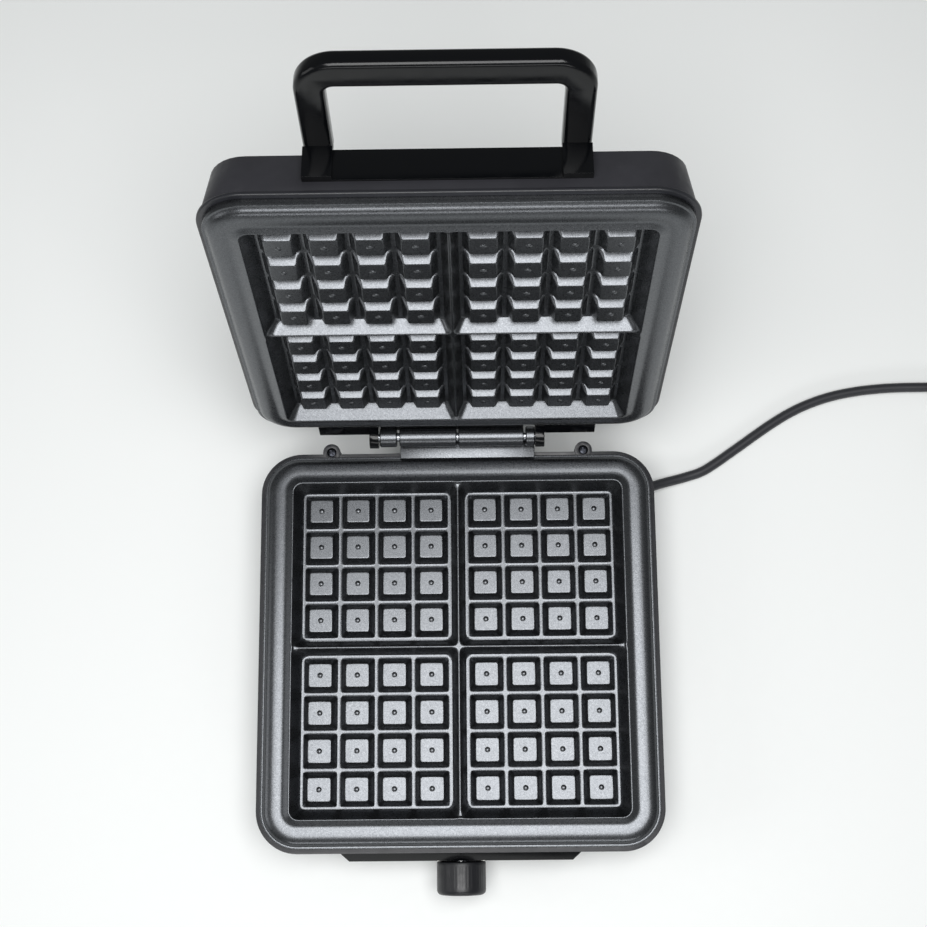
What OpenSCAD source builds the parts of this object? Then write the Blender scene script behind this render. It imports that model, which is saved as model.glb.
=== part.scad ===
// Belgian waffle maker: a hinged, two-plate electric grill with a bail handle, shown with its lid open.
// Millimetres, +Z up, z = 0 is the table. The front of the appliance faces -Y.

/* [Body] */
// Width of the rims
body_width = 272; // [262:1:330]
// Depth of the rims
body_depth = 270; // [262:1:330]
// Height of the lower rim above the table
rim_height = 54.7; // [50:0.1:75]
// Height of the lid's wall above its rim
lid_wall_height = 26.6; // [22:0.1:36]
// Corner radius of the rims
rim_corner = 28; // [26:1:36]
// How far the walls draw in from the rim to their far edge
wall_draft = 4.5; // [2:0.5:6]
// Thickness of the plastic walls
wall = 2.6; // [2:0.2:3.2]

/* [Waffle plates] */
// Pitch of the waffle pockets
pocket_pitch = 25; // [22:0.25:25.5]
// Bosses along each side of one waffle
bosses_per_side = 4; // [2:1:4]
// Distance between the two rows of bosses beside the dividing ridge
middle_pitch = 36.86; // [34:0.1:38]
// Height of the bosses
boss_height = 7; // [5:0.5:8]
// Width of a boss at the floor
boss_base = 22.4; // [19:0.2:22.6]
// Width of a boss at its top
boss_top = 15.4; // [12:0.2:17]
// Thickness of the plate castings
plate_thickness = 2.4; // [2:0.2:3]
// Gap between the upper and lower bosses when the lid is shut
plate_gap = 6; // [5:0.5:9]

/* [Hinge] */
// Angle to which the lid opens
open_angle = 102.6; // [90:0.1:110]
// Diameter of the hinge pin
hinge_pin_d = 6; // [5:0.5:7]
// Diameter of the hinge barrel
hinge_barrel_d = 13.4; // [12:0.2:14]
// Distance of the hinge axis behind the rim
hinge_setback = 8.6; // [8.6:0.1:12]
// Radial clearance of the turning fits
running_clearance = 0.05; // [0.02:0.01:0.1]

/* [Handle] */
// Overall width of the bail handle
handle_width = 153.4; // [120:1:200]
// How far the handle reaches in front of the lid
handle_reach = 72; // [60:1:90]
// Width of the handle's arms
handle_arm = 16; // [12:1:22]
// Depth of the grip bar
handle_bar = 18; // [14:1:24]
// Thickness of the handle
handle_thickness = 11; // [9:1:16]

/* [Controls] */
// Width of the control panel
panel_width = 161; // [140:1:200]
// Diameter of the browning knob
knob_d = 33; // [26:1:36]
// Length of the browning knob
knob_length = 21.8; // [14:0.2:26]
// Height of the knob's axis above the table
knob_height = 30; // [27:1:32]
// Diameter of the thermostat's spindle
spindle_d = 6; // [5:0.5:7]
// Diameter of the indicator lenses
lens_d = 6; // [4:0.5:8]

/* [Underside] */
// Diameter of the rubber feet
foot_d = 18; // [14:1:24]
// Height of the rubber feet
foot_height = 6.5; // [6:0.5:8]
// Diameter of the mains cord
cord_d = 7; // [6.5:0.1:7.4]

/* [Hidden] */
$fn = 48;

// The middle of the cooking plate lies this far along Y from the origin, which is the middle of
// the open appliance's outline on the table.
body_y = -51;

// Heights of the lower half, from the table up
bezel_thickness = 2.5;
skirt_height = 4.6;
flange_height = rim_height + skirt_height;
flange_drop = 2.7;
boss_pip = 0.7;
pip_height = flange_height + flange_drop;
parting_height = pip_height + plate_gap / 2;
housing_top = rim_height - bezel_thickness;
housing_height = housing_top - foot_height;
floor_drop = boss_height + boss_pip;
under_drop = floor_drop + plate_thickness;

// Plan sizes shared by both halves
rim_border = 3.2;
flange_corner = rim_corner - rim_border;
corner_x = body_width / 2 - rim_corner;
corner_y = body_depth / 2 - rim_corner;
housing_inset = 1.5;
bezel_inset = 22.5;
boss_first = middle_pitch / 2;
boss_last = boss_first + (bosses_per_side - 1) * pocket_pitch;
well_floor_half = boss_last + boss_base / 2 + 1.9;
well_rim_rise = 1.5;
well_rim_half = well_floor_half + 5.5;
bead_rise = plate_gap / 2 - 0.15;
flange_width = 1.8;
pip_d = 2.4;
ridge_top = 1.2;
ridge_base = 9.5;
ridge_rise = 1;

// Heater, shield and their screws, measured down from the tops of the bosses
heater_d = 6.4;
heater_half = 76;
heater_corner = 24;
heater_gap = 0.2;
core_wall = 3.4;
stud_d = 10;
stud_length = heater_d + 2 * heater_gap;
shield_thickness = 0.8;
shield_half = well_floor_half - 3;
plate_screw_d = 4;
plate_screw_head_d = 8;
plate_screw_head = 2.2;
plate_screw_depth = 7.5;

// Hinge, with the knuckles' ends along X
hinge_y = body_depth / 2 + hinge_setback;
hinge_z = parting_height + 2.5;
hinge_bore_d = hinge_pin_d + 2 * running_clearance;
lower_knuckles = [[-39.5, -0.3], [47.2, 53.5]];
upper_knuckles = [[-53, -41.3], [1, 45.8]];
shelf_gap = 0.5;
shelf_thickness = 3;
shelf_reach = 3.4;
cap_arm_in = 53.8;
cap_arm_out = 60;
cap_end = 95;
cap_radius = 7.5;
cap_rear = 6.4;
cap_bottom = 4;
cap_height = 16.5;
cap_chamfer = 3;
cap_screw_x = [66, 89];
cap_screw_rise = 16;
cap_screw_d = 3.4;
cap_screw_head_d = 6.4;
pin_half = 58.8;

// Lugs behind the lower rim
lug_x = 87.6;
lug_setback = 1;
lug_d = 12;
lug_rise = 1.3;
lug_depth = 22;
lug_screw_d = 3.2;
lug_screw_head_d = 6.5;
lug_screw_recess = 1;

// Lid
lid_bezel_z = 2 * parting_height - rim_height;
lid_wall_z = lid_bezel_z + bezel_thickness;
lid_top = lid_wall_z + lid_wall_height;
cover_thickness = 0.6;
cover_border = 16;
lid_front = body_depth / 2 - housing_inset - wall_draft;

// Handle
handle_front = -lid_front - handle_reach;
handle_corner = 22;
handle_inner_corner = 5;
base_height = 19.4;
base_thickness = 5.5;
base_foot = 3.4;
base_seat = 1;
pad_thickness = 4;
handle_screw_d = 4;
handle_screw_head_d = 7;
handle_screw_head = 2.4;
handle_screw_length = 11;

// Control panel and what stands behind it
panel_front = body_depth / 2 + 5.5;
panel_back = body_depth / 2 - 7.5;
panel_bevel = 6;
panel_low = 10;
panel_high = housing_top - 1.2;
panel_gap = 0.2;
lens_x = 52;
lens_proud = 0.6;
lamp_length = 12;
knob_gap = 1;
spindle_end = body_depth / 2 - 36;
thermostat_size = [34, 16, 24];
thermostat_front = panel_back - 4;
bracket_thickness = 1.2;

// Underside
cover_gap = 0.2;
cover_plate = 2.5;
inner_half_x = body_width / 2 - housing_inset - wall_draft - wall;
inner_half_y = body_depth / 2 - housing_inset - wall_draft - wall;
front_foot = [inner_half_x - 20, 20 - inner_half_y];
rear_foot = [70, inner_half_y - 12];
foot_neck_d = 8;
foot_lip_d = 10;
foot_lip = 1.4;
post_d = 9;
post_x = inner_half_x - 7;
post_web = 4;
post_y = 62;
post_height = 26;
post_screw_d = 3.2;
post_screw_head_d = 6.4;
post_screw_head = 1.2;
post_screw_length = 14;

// Cord outlet, in a tunnel that the bottom cover forms at the right rear
outlet_y = 114.5;
outlet_z = 11.5;
tunnel_start = 88.5;
tunnel_width = 15.5;
tunnel_height = 18.5;
tunnel_wall = 2.5;
relief_end = 120.5;
relief_neck_d = 9;
relief_root_d = 11.4;
relief_tip_d = 8.6;
relief_flange_d = 13;
// The flange inside the wall has a flat this far below the cord's axis, to clear the cover plate
relief_flat = outlet_z - foot_height - cover_plate - cover_gap;

// Route of the cord's centre from the strain relief to the coil, points chosen by eye
cord_route = [
    [120.5, 63.5, 11.5], [128, 63.7, 11.3], [135, 65.4, 10.1], [142, 68.2, 8.3], [150, 70.8, 6.3],
    [158, 73, 4.8], [167, 75.6, 3.8], [177, 79, 3.6], [186, 84.2, 3.6], [196, 91, 3.6],
    [207, 98.6, 3.6], [219, 107, 3.6], [231, 115, 3.6], [244, 122.6, 3.6], [258, 129, 3.6],
    [273, 134, 3.6], [289, 137.4, 3.6], [305, 139.4, 3.7], [322, 140.4, 3.9], [340, 140.5, 4.2],
    [358, 140.5, 4.3], [374, 140.5, 4.3], [390, 140.5, 4.3]
];
cord_sides = 10;
// The coil of spare cord: turns lying beside and on each other, a cord's width apart
coil_centre = [390, 98.4];
coil_radius = 38.5;
coil_low = 0.7;
coil_layers = 2;
cord_pitch = 7.2;
coil_height = cord_pitch * coil_layers;
coil_width = 2 * cord_pitch;
coil_exit = coil_radius - cord_pitch / 4;
coil_exit_z = coil_low + cord_pitch * (1 + sqrt(3)) / 2;
tail_length = 34;
tail_z = 9.5;
tail_route = [
    [coil_centre.x + coil_exit, coil_centre.y, coil_exit_z],
    [coil_centre.x + coil_exit, coil_centre.y - tail_length / 2, (coil_exit_z + tail_z) / 2],
    [coil_centre.x + coil_exit, coil_centre.y - tail_length + cord_pitch, tail_z],
    [coil_centre.x + coil_exit, coil_centre.y - tail_length, tail_z]
];
tie_thickness = 0.6;
tie_width = 9;
tie_gap = 0.8;
tie_angle = 150;

// Plug, lying flat with its blades side by side
plug_relief = 24;
plug_length = 27;
plug_width = 25;
plug_thickness = 17;
blade_pitch = 12.7;
blade_length = 17.4;
blade_seat = 6;
blade_thickness = 1.5;
blade_widths = [6.3, 7.9];

// ---- Places ----

module on_body() translate([0, body_y, 0]) children();

module on_lid() on_body() translate([0, hinge_y, hinge_z]) rotate([-open_angle, 0, 0])
    translate([0, -hinge_y, -hinge_z]) children();

// Turns a lower half's shape into the lid's mirror image of it
module over_parting_plane() translate([0, 0, 2 * parting_height]) mirror([0, 0, 1]) children();

module for_feet() both_sides() {
    translate([front_foot.x, front_foot.y, 0]) children();
    translate([rear_foot.x, rear_foot.y, 0]) children();
}

module both_sides() {
    children();
    mirror([1, 0, 0]) children();
}

module four_corners(x, y) for (sx = [-1, 1], sy = [-1, 1]) translate([sx * x, sy * y]) children();

module along_x(x0, x1) translate([x0, 0, 0]) rotate([90, 0, 90]) linear_extrude(x1 - x0) children();

module forward(y) translate([0, y, 0]) rotate([90, 0, 0]) children();

// ---- Shapes ----

module rounded_outline(half_x, half_y, r) {
    square([2 * half_x, 2 * (half_y - r)], center = true);
    square([2 * (half_x - r), 2 * half_y], center = true);
    four_corners(half_x - r, half_y - r) circle(r = r);
}

module rounded_slab(half_x, half_y, r, h) linear_extrude(h) rounded_outline(half_x, half_y, r);

module rounded_ring(half_x, half_y, r, width, h) difference() {
    rounded_slab(half_x, half_y, r, h);
    translate([0, 0, -1]) rounded_slab(half_x - width, half_y - width, max(r - width, 3), h + 2);
}

// A block with rounded corners that is smaller by `draft` all round at its bottom
module drafted_block(half_x, half_y, r, h, draft) hull()
    four_corners(half_x - r, half_y - r) cylinder(h = h, r1 = r - draft, r2 = r, $fn = 32);

// A profile run round a rounded rectangle: x is the distance outward from the corner centres
module rim_sweep() {
    both_sides() translate([corner_x, 0, 0]) rotate([90, 0, 0])
        linear_extrude(2 * corner_y, center = true) children();
    for (a = [90, 270]) rotate([0, 0, a]) translate([corner_y, 0, 0]) rotate([90, 0, 0])
        linear_extrude(2 * corner_x, center = true) children();
    for (c = [[1, 1, 0], [-1, 1, 90], [-1, -1, 180], [1, -1, 270]])
        translate([c.x * corner_x, c.y * corner_y, 0]) rotate([0, 0, c.z])
            rotate_extrude(angle = 90) children();
}

module cap_screw(d, length, head_d, head) {
    cylinder(h = length, d = d);
    translate([0, 0, -head]) difference() {
        cylinder(h = head, d = head_d);
        translate([0, 0, -1]) linear_extrude(1 + head / 2) {
            square([head_d * 0.62, head_d * 0.16], center = true);
            square([head_d * 0.16, head_d * 0.62], center = true);
        }
    }
}

// A tube swept along a list of points
function unit(v) = v / norm(v);
function direction(p, i) = unit(p[min(i + 1, len(p) - 1)] - p[max(i - 1, 0)]);
function tube_ring(p, i, r, sides) = let (
    t = direction(p, i),
    side = unit(cross([0, 0, 1], t)),
    up = cross(t, side)
) [for (k = [0:sides - 1]) p[i] + r * (cos(360 * k / sides) * side + sin(360 * k / sides) * up)];

module tube(p, r, sides) {
    n = len(p);
    points = [for (i = [0:n - 1]) each tube_ring(p, i, r, sides)];
    walls = [for (i = [0:n - 2], k = [0:sides - 1])
        let (a = i * sides + k, b = i * sides + (k + 1) % sides) [a, a + sides, b + sides, b]];
    ends = [[for (k = [0:sides - 1]) k], [for (k = [sides - 1:-1:0]) (n - 1) * sides + k]];
    polyhedron(points, concat(walls, ends), convexity = 4);
}

// ---- Cooking plates, drawn with the tops of the pips at z = 0 ----

// Cross-section of the raised bead between the well and the flange, with its skirt
bead_crest = flange_corner - 9.8;
bead_outer = flange_corner - flange_width;
bead_foot = 1;
// The bead starts at the wells' rim, or by the corner's centre where the border is wider than its corner
bead_inner = max(flange_corner - (body_width / 2 - rim_border - well_rim_half), bead_foot);
function bead_in(x) = bead_rise
    - (bead_rise - well_rim_rise) * pow((bead_crest - x) / (bead_crest - bead_inner), 2);
function bead_out(x) = bead_rise - (bead_rise + flange_drop)
    * (1 - sqrt(1 - pow((x - bead_crest) / (bead_outer - bead_crest), 2)));
bead_steps = 5;
bead_profile = concat(
    [[0, -under_drop], [0, well_rim_rise], [bead_inner, well_rim_rise]],
    [for (i = [1:bead_steps])
        let (x = bead_inner + (bead_crest - bead_inner) * i / bead_steps) [x, bead_in(x)]],
    [for (i = [1:bead_steps])
        let (x = bead_crest + (bead_outer - bead_crest) * sin(90 * i / bead_steps)) [x, bead_out(x)]],
    [
        [flange_corner, -flange_drop], [flange_corner, -flange_drop - skirt_height],
        [bead_outer, -flange_drop - skirt_height], [bead_outer, -flange_drop - plate_thickness],
        [bead_crest + 4, bead_rise - plate_thickness - 3], [bead_inner + 3, -plate_thickness],
        [bead_inner, -under_drop]
    ]
);

module well_side(half_floor, half_rim) {
    top = bead_rise + 3;
    lean = (half_rim - half_floor) / (well_rim_rise + floor_drop);
    half_top = half_floor + lean * (top + floor_drop);
    polygon([[-half_floor, -floor_drop], [half_floor, -floor_drop], [half_top, top], [-half_top, top]]);
}

module boss_comb() for (side = [-1, 1], i = [0:bosses_per_side - 1])
    translate([side * (boss_first + i * pocket_pitch), 0])
        polygon([
            [-boss_base / 2, -floor_drop], [boss_base / 2, -floor_drop],
            [boss_top / 2, -boss_pip], [-boss_top / 2, -boss_pip]
        ]);

// Hollows cast into the underside of the bosses
module core_comb() for (side = [-1, 1], i = [0:bosses_per_side - 1])
    translate([side * (boss_first + i * pocket_pitch), 0])
        polygon([
            [-boss_base / 2 + core_wall, -under_drop - 1], [boss_base / 2 - core_wall, -under_drop - 1],
            [boss_top / 2 - core_wall + 1, -boss_pip - plate_thickness],
            [-boss_top / 2 + core_wall - 1, -boss_pip - plate_thickness]
        ]);

module ridge_side() polygon([
    [-ridge_base / 2, -floor_drop], [ridge_base / 2, -floor_drop],
    [ridge_top / 2, ridge_rise], [-ridge_top / 2, ridge_rise]
]);

module across(length) rotate([90, 0, 0]) linear_extrude(length, center = true) children();

module along(length) rotate([90, 0, 90]) linear_extrude(length, center = true) children();

module plate_body() difference() {
    union() {
        difference() {
            union() {
                rim_sweep() polygon(bead_profile);
                translate([-corner_x, -corner_y, -under_drop])
                    cube([2 * corner_x, 2 * corner_y, under_drop + well_rim_rise]);
            }
            intersection() {
                across(2 * body_depth) well_side(well_floor_half, well_rim_half);
                along(2 * body_width) well_side(well_floor_half, well_rim_half);
            }
        }
        intersection() {
            across(2 * well_floor_half) boss_comb();
            along(2 * well_floor_half) boss_comb();
        }
        for (sx = [-1, 1], sy = [-1, 1], i = [0:bosses_per_side - 1], j = [0:bosses_per_side - 1])
            translate([sx * (boss_first + i * pocket_pitch), sy * (boss_first + j * pocket_pitch), -1])
                cylinder(h = 1, d = pip_d, $fn = 16);
        intersection() {
            union() {
                across(2 * well_rim_half) ridge_side();
                along(2 * well_rim_half) ridge_side();
            }
            intersection() {
                across(2 * body_depth) well_side(well_floor_half + 0.5, well_rim_half + 0.5);
                along(2 * body_width) well_side(well_floor_half + 0.5, well_rim_half + 0.5);
            }
        }
    }
    intersection() {
        across(2 * well_floor_half) core_comb();
        along(2 * well_floor_half) core_comb();
    }
}

module waffle_plate() difference() {
    union() {
        plate_body();
        translate([0, 0, -under_drop - stud_length])
            four_corners(boss_last, boss_last)
                cylinder(h = stud_length + under_drop - boss_pip - 1, d = stud_d);
    }
    translate([0, 0, -under_drop - stud_length - 1])
        four_corners(boss_last, boss_last) cylinder(h = plate_screw_depth + 1, d = plate_screw_d);
}

// Knuckles round the hinge axis, each joined to a leaf by a web on its `side`, +1 above or -1 below
module knuckles(spans, side, leaf_gap, bore_d) for (s = spans) difference() {
    union() {
        translate([s[0], hinge_y, hinge_z]) rotate([0, 90, 0])
            cylinder(h = s[1] - s[0], d = hinge_barrel_d);
        along_x(s[0], s[1]) polygon([for (p = [
            [-4, 0], [shelf_reach, 0], [shelf_reach, hinge_barrel_d / 2 + leaf_gap],
            [-4, hinge_barrel_d / 2 + leaf_gap]
        ]) [hinge_y + p.x, hinge_z + side * p.y]]);
    }
    translate([s[0] - 1, hinge_y, hinge_z]) rotate([0, 90, 0])
        cylinder(h = s[1] - s[0] + 2, d = bore_d);
}

module lower_cooking_plate() color("#5c5e62") on_body() {
    shelf_top = hinge_z - hinge_barrel_d / 2 - shelf_gap;
    translate([0, 0, pip_height]) waffle_plate();
    along_x(lower_knuckles[0][0], lower_knuckles[1][1]) polygon([
        [body_depth / 2 - rim_border - 1.6, shelf_top], [hinge_y + shelf_reach, shelf_top],
        [hinge_y + shelf_reach, shelf_top - shelf_thickness],
        [body_depth / 2 - rim_border - 1.6, shelf_top - shelf_thickness]
    ]);
    knuckles(lower_knuckles, -1, shelf_gap, hinge_pin_d);
}

module upper_cooking_plate() color("#54565a") on_lid() {
    leaf_low = hinge_z + hinge_barrel_d / 2 + shelf_gap - 0.1;
    leaf_top = lid_wall_z - 0.3;
    step_y = body_depth / 2 + 0.2;
    root_y = body_depth / 2 - rim_border - 1.6;
    over_parting_plane() translate([0, 0, pip_height]) waffle_plate();
    along_x(upper_knuckles[0][0], upper_knuckles[1][1]) polygon([
        [root_y, lid_bezel_z - skirt_height + 0.6], [step_y, lid_bezel_z - skirt_height + 0.6],
        [step_y, leaf_low], [hinge_y + shelf_reach, leaf_low], [hinge_y + shelf_reach, leaf_top],
        [step_y, leaf_top], [step_y, lid_bezel_z], [root_y, lid_bezel_z]
    ]);
    knuckles(upper_knuckles, 1, shelf_gap, hinge_bore_d);
}

// ---- Heaters and shields, drawn for the lower half ----

module heater() {
    z = pip_height - under_drop - heater_gap - heater_d / 2;
    straight = heater_half - heater_corner;
    lead_gap = 14;
    translate([0, 0, z]) {
        for (s = [-1, 1]) {
            translate([s * heater_half, -straight, 0]) rotate([-90, 0, 0])
                cylinder(h = 2 * straight, d = heater_d);
            translate([s * lead_gap, -heater_half, 0]) rotate([0, s * 90, 0])
                cylinder(h = straight - lead_gap, d = heater_d);
            translate([s * lead_gap, -heater_half, -10]) cylinder(h = 10, d = heater_d / 2);
        }
        translate([-straight, heater_half, 0]) rotate([0, 90, 0]) cylinder(h = 2 * straight, d = heater_d);
        for (c = [[1, 1, 0], [-1, 1, 90], [-1, -1, 180], [1, -1, 270]])
            translate([c.x * straight, c.y * straight, 0]) rotate([0, 0, c.z])
                rotate_extrude(angle = 90) translate([heater_corner, 0]) circle(d = heater_d);
    }
}

module heat_shield() {
    z = pip_height - under_drop - stud_length - shield_thickness;
    difference() {
        translate([0, 0, z]) rounded_slab(shield_half, shield_half, 12, stud_length - 1);
        translate([0, 0, z + shield_thickness])
            rounded_slab(shield_half - shield_thickness, shield_half - shield_thickness, 11.2, stud_length);
        translate([0, 0, z - 1]) {
            four_corners(boss_last, boss_last) cylinder(h = 3, d = plate_screw_d + 0.4);
            for (s = [-1, 1]) translate([s * 14, -heater_half, 0]) cylinder(h = 3, d = heater_d);
        }
    }
}

module plate_screws() {
    z = pip_height - under_drop - stud_length - shield_thickness;
    translate([0, 0, z]) four_corners(boss_last, boss_last)
        cap_screw(plate_screw_d, shield_thickness + plate_screw_depth - 0.5,
            plate_screw_head_d, plate_screw_head);
}

module lower_heating_element() color("#8a8178") on_body() heater();
module upper_heating_element() color("#8a8178") on_lid() over_parting_plane() heater();
module lower_heat_shield() color("#b9bcc0") on_body() heat_shield();
module upper_heat_shield() color("#b9bcc0") on_lid() over_parting_plane() heat_shield();
module lower_plate_screws() color("#a0a3a8") on_body() plate_screws();
module upper_plate_screws() color("#a0a3a8") on_lid() over_parting_plane() plate_screws();

// ---- Base ----

module housing_shell() difference() {
    drafted_block(body_width / 2 - housing_inset, body_depth / 2 - housing_inset,
        rim_corner - housing_inset, housing_height, wall_draft);
    translate([0, 0, -0.01]) drafted_block(body_width / 2 - housing_inset - wall,
        body_depth / 2 - housing_inset - wall, rim_corner - housing_inset - wall,
        housing_height + 0.02, wall_draft);
}

module lower_housing() color("#2b2b30") on_body() difference() {
    union() {
        translate([0, 0, foot_height]) housing_shell();
        translate([0, 0, foot_height + cover_plate])
            four_corners(post_x, post_y) cylinder(h = post_height, d = post_d);
        translate([0, 0, foot_height + cover_plate]) both_sides() for (s = [-1, 1])
            translate([post_x, s * post_y - post_web / 2, 0])
                cube([inner_half_x + wall / 2 - post_x, post_web, post_height]);
        both_sides() translate([lug_x, body_depth / 2 + lug_setback, housing_top - lug_depth]) {
            cylinder(h = lug_depth, d = lug_d);
            translate([-lug_d / 2 + 1, -lug_d / 2 - 1, 0]) cube([lug_d - 2, lug_d / 2, lug_depth]);
        }
    }
    translate([0, 0, foot_height + cover_plate - 1])
        four_corners(post_x, post_y) cylinder(h = post_screw_length + 1, d = post_screw_d);
    both_sides() translate([lug_x, body_depth / 2 + lug_setback, housing_top - 12])
        cylinder(h = 13, d = lug_screw_d);
    panel_envelope(panel_gap);
    translate([tunnel_start + 6, outlet_y - tunnel_width / 2, -1])
        cube([60, tunnel_width, tunnel_height + 1]);
}

module lower_bezel() color("#242428") on_body() difference() {
    union() {
        translate([0, 0, housing_top])
            rounded_ring(body_width / 2, body_depth / 2, rim_corner, bezel_inset, bezel_thickness);
        both_sides() translate([lug_x, body_depth / 2 + lug_setback, housing_top])
            cylinder(h = bezel_thickness + lug_rise, d = lug_d);
    }
    both_sides() translate([lug_x, body_depth / 2 + lug_setback, 0]) {
        translate([0, 0, housing_top - 1]) cylinder(h = 20, d = lug_screw_d);
        translate([0, 0, rim_height + lug_rise - lug_screw_recess - 1.8])
            cylinder(h = 5, d = lug_screw_head_d);
    }
    translate([-body_width, 0, rim_height])
        cube([2 * body_width, body_depth / 2 - rim_border + cover_gap, skirt_height]);
}

module rear_lug_screws() color("#3a3b3f") on_body() both_sides()
    translate([lug_x, body_depth / 2 + lug_setback, rim_height + lug_rise - lug_screw_recess - 1.8])
        mirror([0, 0, 1]) cap_screw(lug_screw_d, 12, lug_screw_head_d, 1.8);

// The space that the control panel fills, grown by `gap`
module panel_envelope(gap) intersection() {
    along_x(-panel_width / 2 - gap, panel_width / 2 + gap) polygon([
        [-panel_back, panel_low - gap], [-panel_front + 4 - gap, panel_low - gap],
        [-panel_front - gap, panel_low + 4], [-panel_front - gap, panel_high - panel_bevel],
        [-panel_front + panel_bevel - gap, panel_high + gap], [-panel_back, panel_high + gap]
    ]);
    translate([0, 0, panel_low - 1]) linear_extrude(panel_high - panel_low + 2) polygon([
        [-panel_width / 2 - gap, -panel_back], [panel_width / 2 + gap, -panel_back],
        [panel_width / 2 + gap, -panel_front + panel_bevel],
        [panel_width / 2 - panel_bevel, -panel_front - gap],
        [-panel_width / 2 + panel_bevel, -panel_front - gap],
        [-panel_width / 2 - gap, -panel_front + panel_bevel]
    ]);
}

module control_panel() color("#1b1c20") on_body() difference() {
    panel_envelope(0);
    difference() {
        translate([-panel_width / 2 + wall, -panel_front + wall + 1, panel_low + wall])
            cube([panel_width - 2 * wall, 40, panel_high - panel_low - 2 * wall - 3]);
        translate([0, 0, knob_height]) forward(-panel_back + 20) cylinder(h = 60, d = knob_d / 2);
    }
    translate([0, 0, knob_height]) {
        forward(0) cylinder(h = body_depth, d = spindle_d + 2 * running_clearance);
        both_sides() translate([lens_x, 0, 0]) forward(0) cylinder(h = body_depth, d = lens_d);
    }
}

module indicator_lenses() color("#c8302a") on_body() both_sides() translate([lens_x, 0, knob_height])
    forward(-panel_front + wall + 1) {
        cylinder(h = wall + 1, d = lens_d);
        translate([0, 0, wall + 1]) cylinder(h = lens_proud, d1 = lens_d, d2 = lens_d - 1);
    }

module indicator_lamps() color("#e0a060") on_body() both_sides() translate([lens_x, 0, knob_height])
    forward(-panel_front + wall + 1 + lamp_length) {
        cylinder(h = lamp_length, d = lens_d - 0.6);
        translate([0, 0, -2]) cylinder(h = 2, d = lens_d - 3);
    }

module thermostat() color("#d8d4c8") on_body() difference() {
    union() {
        translate([-thermostat_size.x / 2, -thermostat_front, knob_height - thermostat_size.z / 2])
            cube(thermostat_size);
        translate([0, 0, knob_height]) forward(-thermostat_front) cylinder(h = 2.8, d = 14);
    }
    translate([0, 0, knob_height]) forward(0)
        cylinder(h = body_depth, d = spindle_d + 2 * running_clearance);
}

// A folded strip that carries the thermostat from two ribs behind the control panel
module thermostat_bracket() color("#aeb1b5") on_body() difference() {
    half = thermostat_size.x / 2;
    bottom = knob_height - thermostat_size.z / 2;
    union() {
        translate([-half - 12, -thermostat_front, bottom - bracket_thickness])
            cube([2 * half + 24, thermostat_size.y, bracket_thickness]);
        both_sides() translate([half, -thermostat_front - bracket_thickness, bottom - bracket_thickness])
            cube([12, bracket_thickness, thermostat_size.z]);
    }
    both_sides() translate([half + 6, 0, knob_height + 4]) forward(0)
        cylinder(h = body_depth, d = 3.4);
}

module thermal_fuse() color("#c9cbd0") on_body() {
    z = pip_height - under_drop - stud_length - shield_thickness;
    translate([-16, 30, z - 4]) rotate([0, 90, 0]) cylinder(h = 32, d = 1.2);
    difference() {
        translate([-6, 30, z - 4]) rotate([0, 90, 0]) cylinder(h = 12, d = 5);
        translate([-7, 30, z - 4]) rotate([0, 90, 0]) cylinder(h = 14, d = 1.2);
    }
    difference() {
        translate([-4, 24, z - 7.5]) cube([8, 12, 7.5]);
        translate([-5, 30, z - 4]) rotate([0, 90, 0]) cylinder(h = 10, d = 5);
    }
}

module terminal_block() color("#ece8dc") on_body() difference() {
    translate([24, 92, foot_height + cover_plate]) cube([18, 30, 14]);
    for (i = [0:2]) translate([20, 99 + i * 8, foot_height + cover_plate + 7])
        rotate([0, 90, 0]) cylinder(h = 40, d = 4.4);
}

module cover_slab(h) translate([0, 0, foot_height]) rounded_slab(inner_half_x - cover_gap,
    inner_half_y - cover_gap, rim_corner - housing_inset - wall - wall_draft, h);

module bottom_cover() color("#26262a") on_body() difference() {
    union() {
        cover_slab(cover_plate);
        intersection() {
            translate([tunnel_start - tunnel_wall, outlet_y - tunnel_width / 2 - 2, 0])
                cube([body_width, tunnel_width + 4, tunnel_height + tunnel_wall]);
            cover_slab(body_width);
        }
    }
    translate([tunnel_start, outlet_y - tunnel_width / 2, -1]) cube([80, tunnel_width, tunnel_height + 1]);
    translate([tunnel_start - tunnel_wall - 1, outlet_y, outlet_z]) rotate([0, 90, 0])
        cylinder(h = tunnel_wall + 2, d = relief_neck_d);
    for_feet() cylinder(h = 40, d = foot_neck_d);
    four_corners(post_x, post_y) {
        cylinder(h = 40, d = post_screw_d + 0.4);
        translate([0, 0, foot_height - 1]) cylinder(h = 1 + post_screw_head, d = post_screw_head_d + 0.4);
    }
    for (i = [-4:4], side = [-1, 1]) translate([i * 12 - 2, side * 36 - 14, 0]) cube([4, 28, 20]);
}

module bottom_cover_screws() color("#8d9095") on_body() four_corners(post_x, post_y)
    translate([0, 0, foot_height + post_screw_head]) cap_screw(post_screw_d,
        cover_plate - post_screw_head + post_screw_length - 1, post_screw_head_d, post_screw_head);

module rubber_feet() color("#1a1a1c") on_body() for_feet() {
    cylinder(h = 1.5, d1 = foot_d - 3, d2 = foot_d);
    translate([0, 0, 1.5]) cylinder(h = foot_height - 1.5, d = foot_d);
    cylinder(h = foot_height + cover_plate, d = foot_neck_d);
    translate([0, 0, foot_height + cover_plate]) cylinder(h = foot_lip, d1 = foot_lip_d, d2 = foot_neck_d);
}

module hinge_pin() color("#c4c7cb") on_body() translate([-pin_half, hinge_y, hinge_z]) rotate([0, 90, 0])
    cylinder(h = 2 * pin_half, d = hinge_pin_d);

// ---- Cord ----

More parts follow.
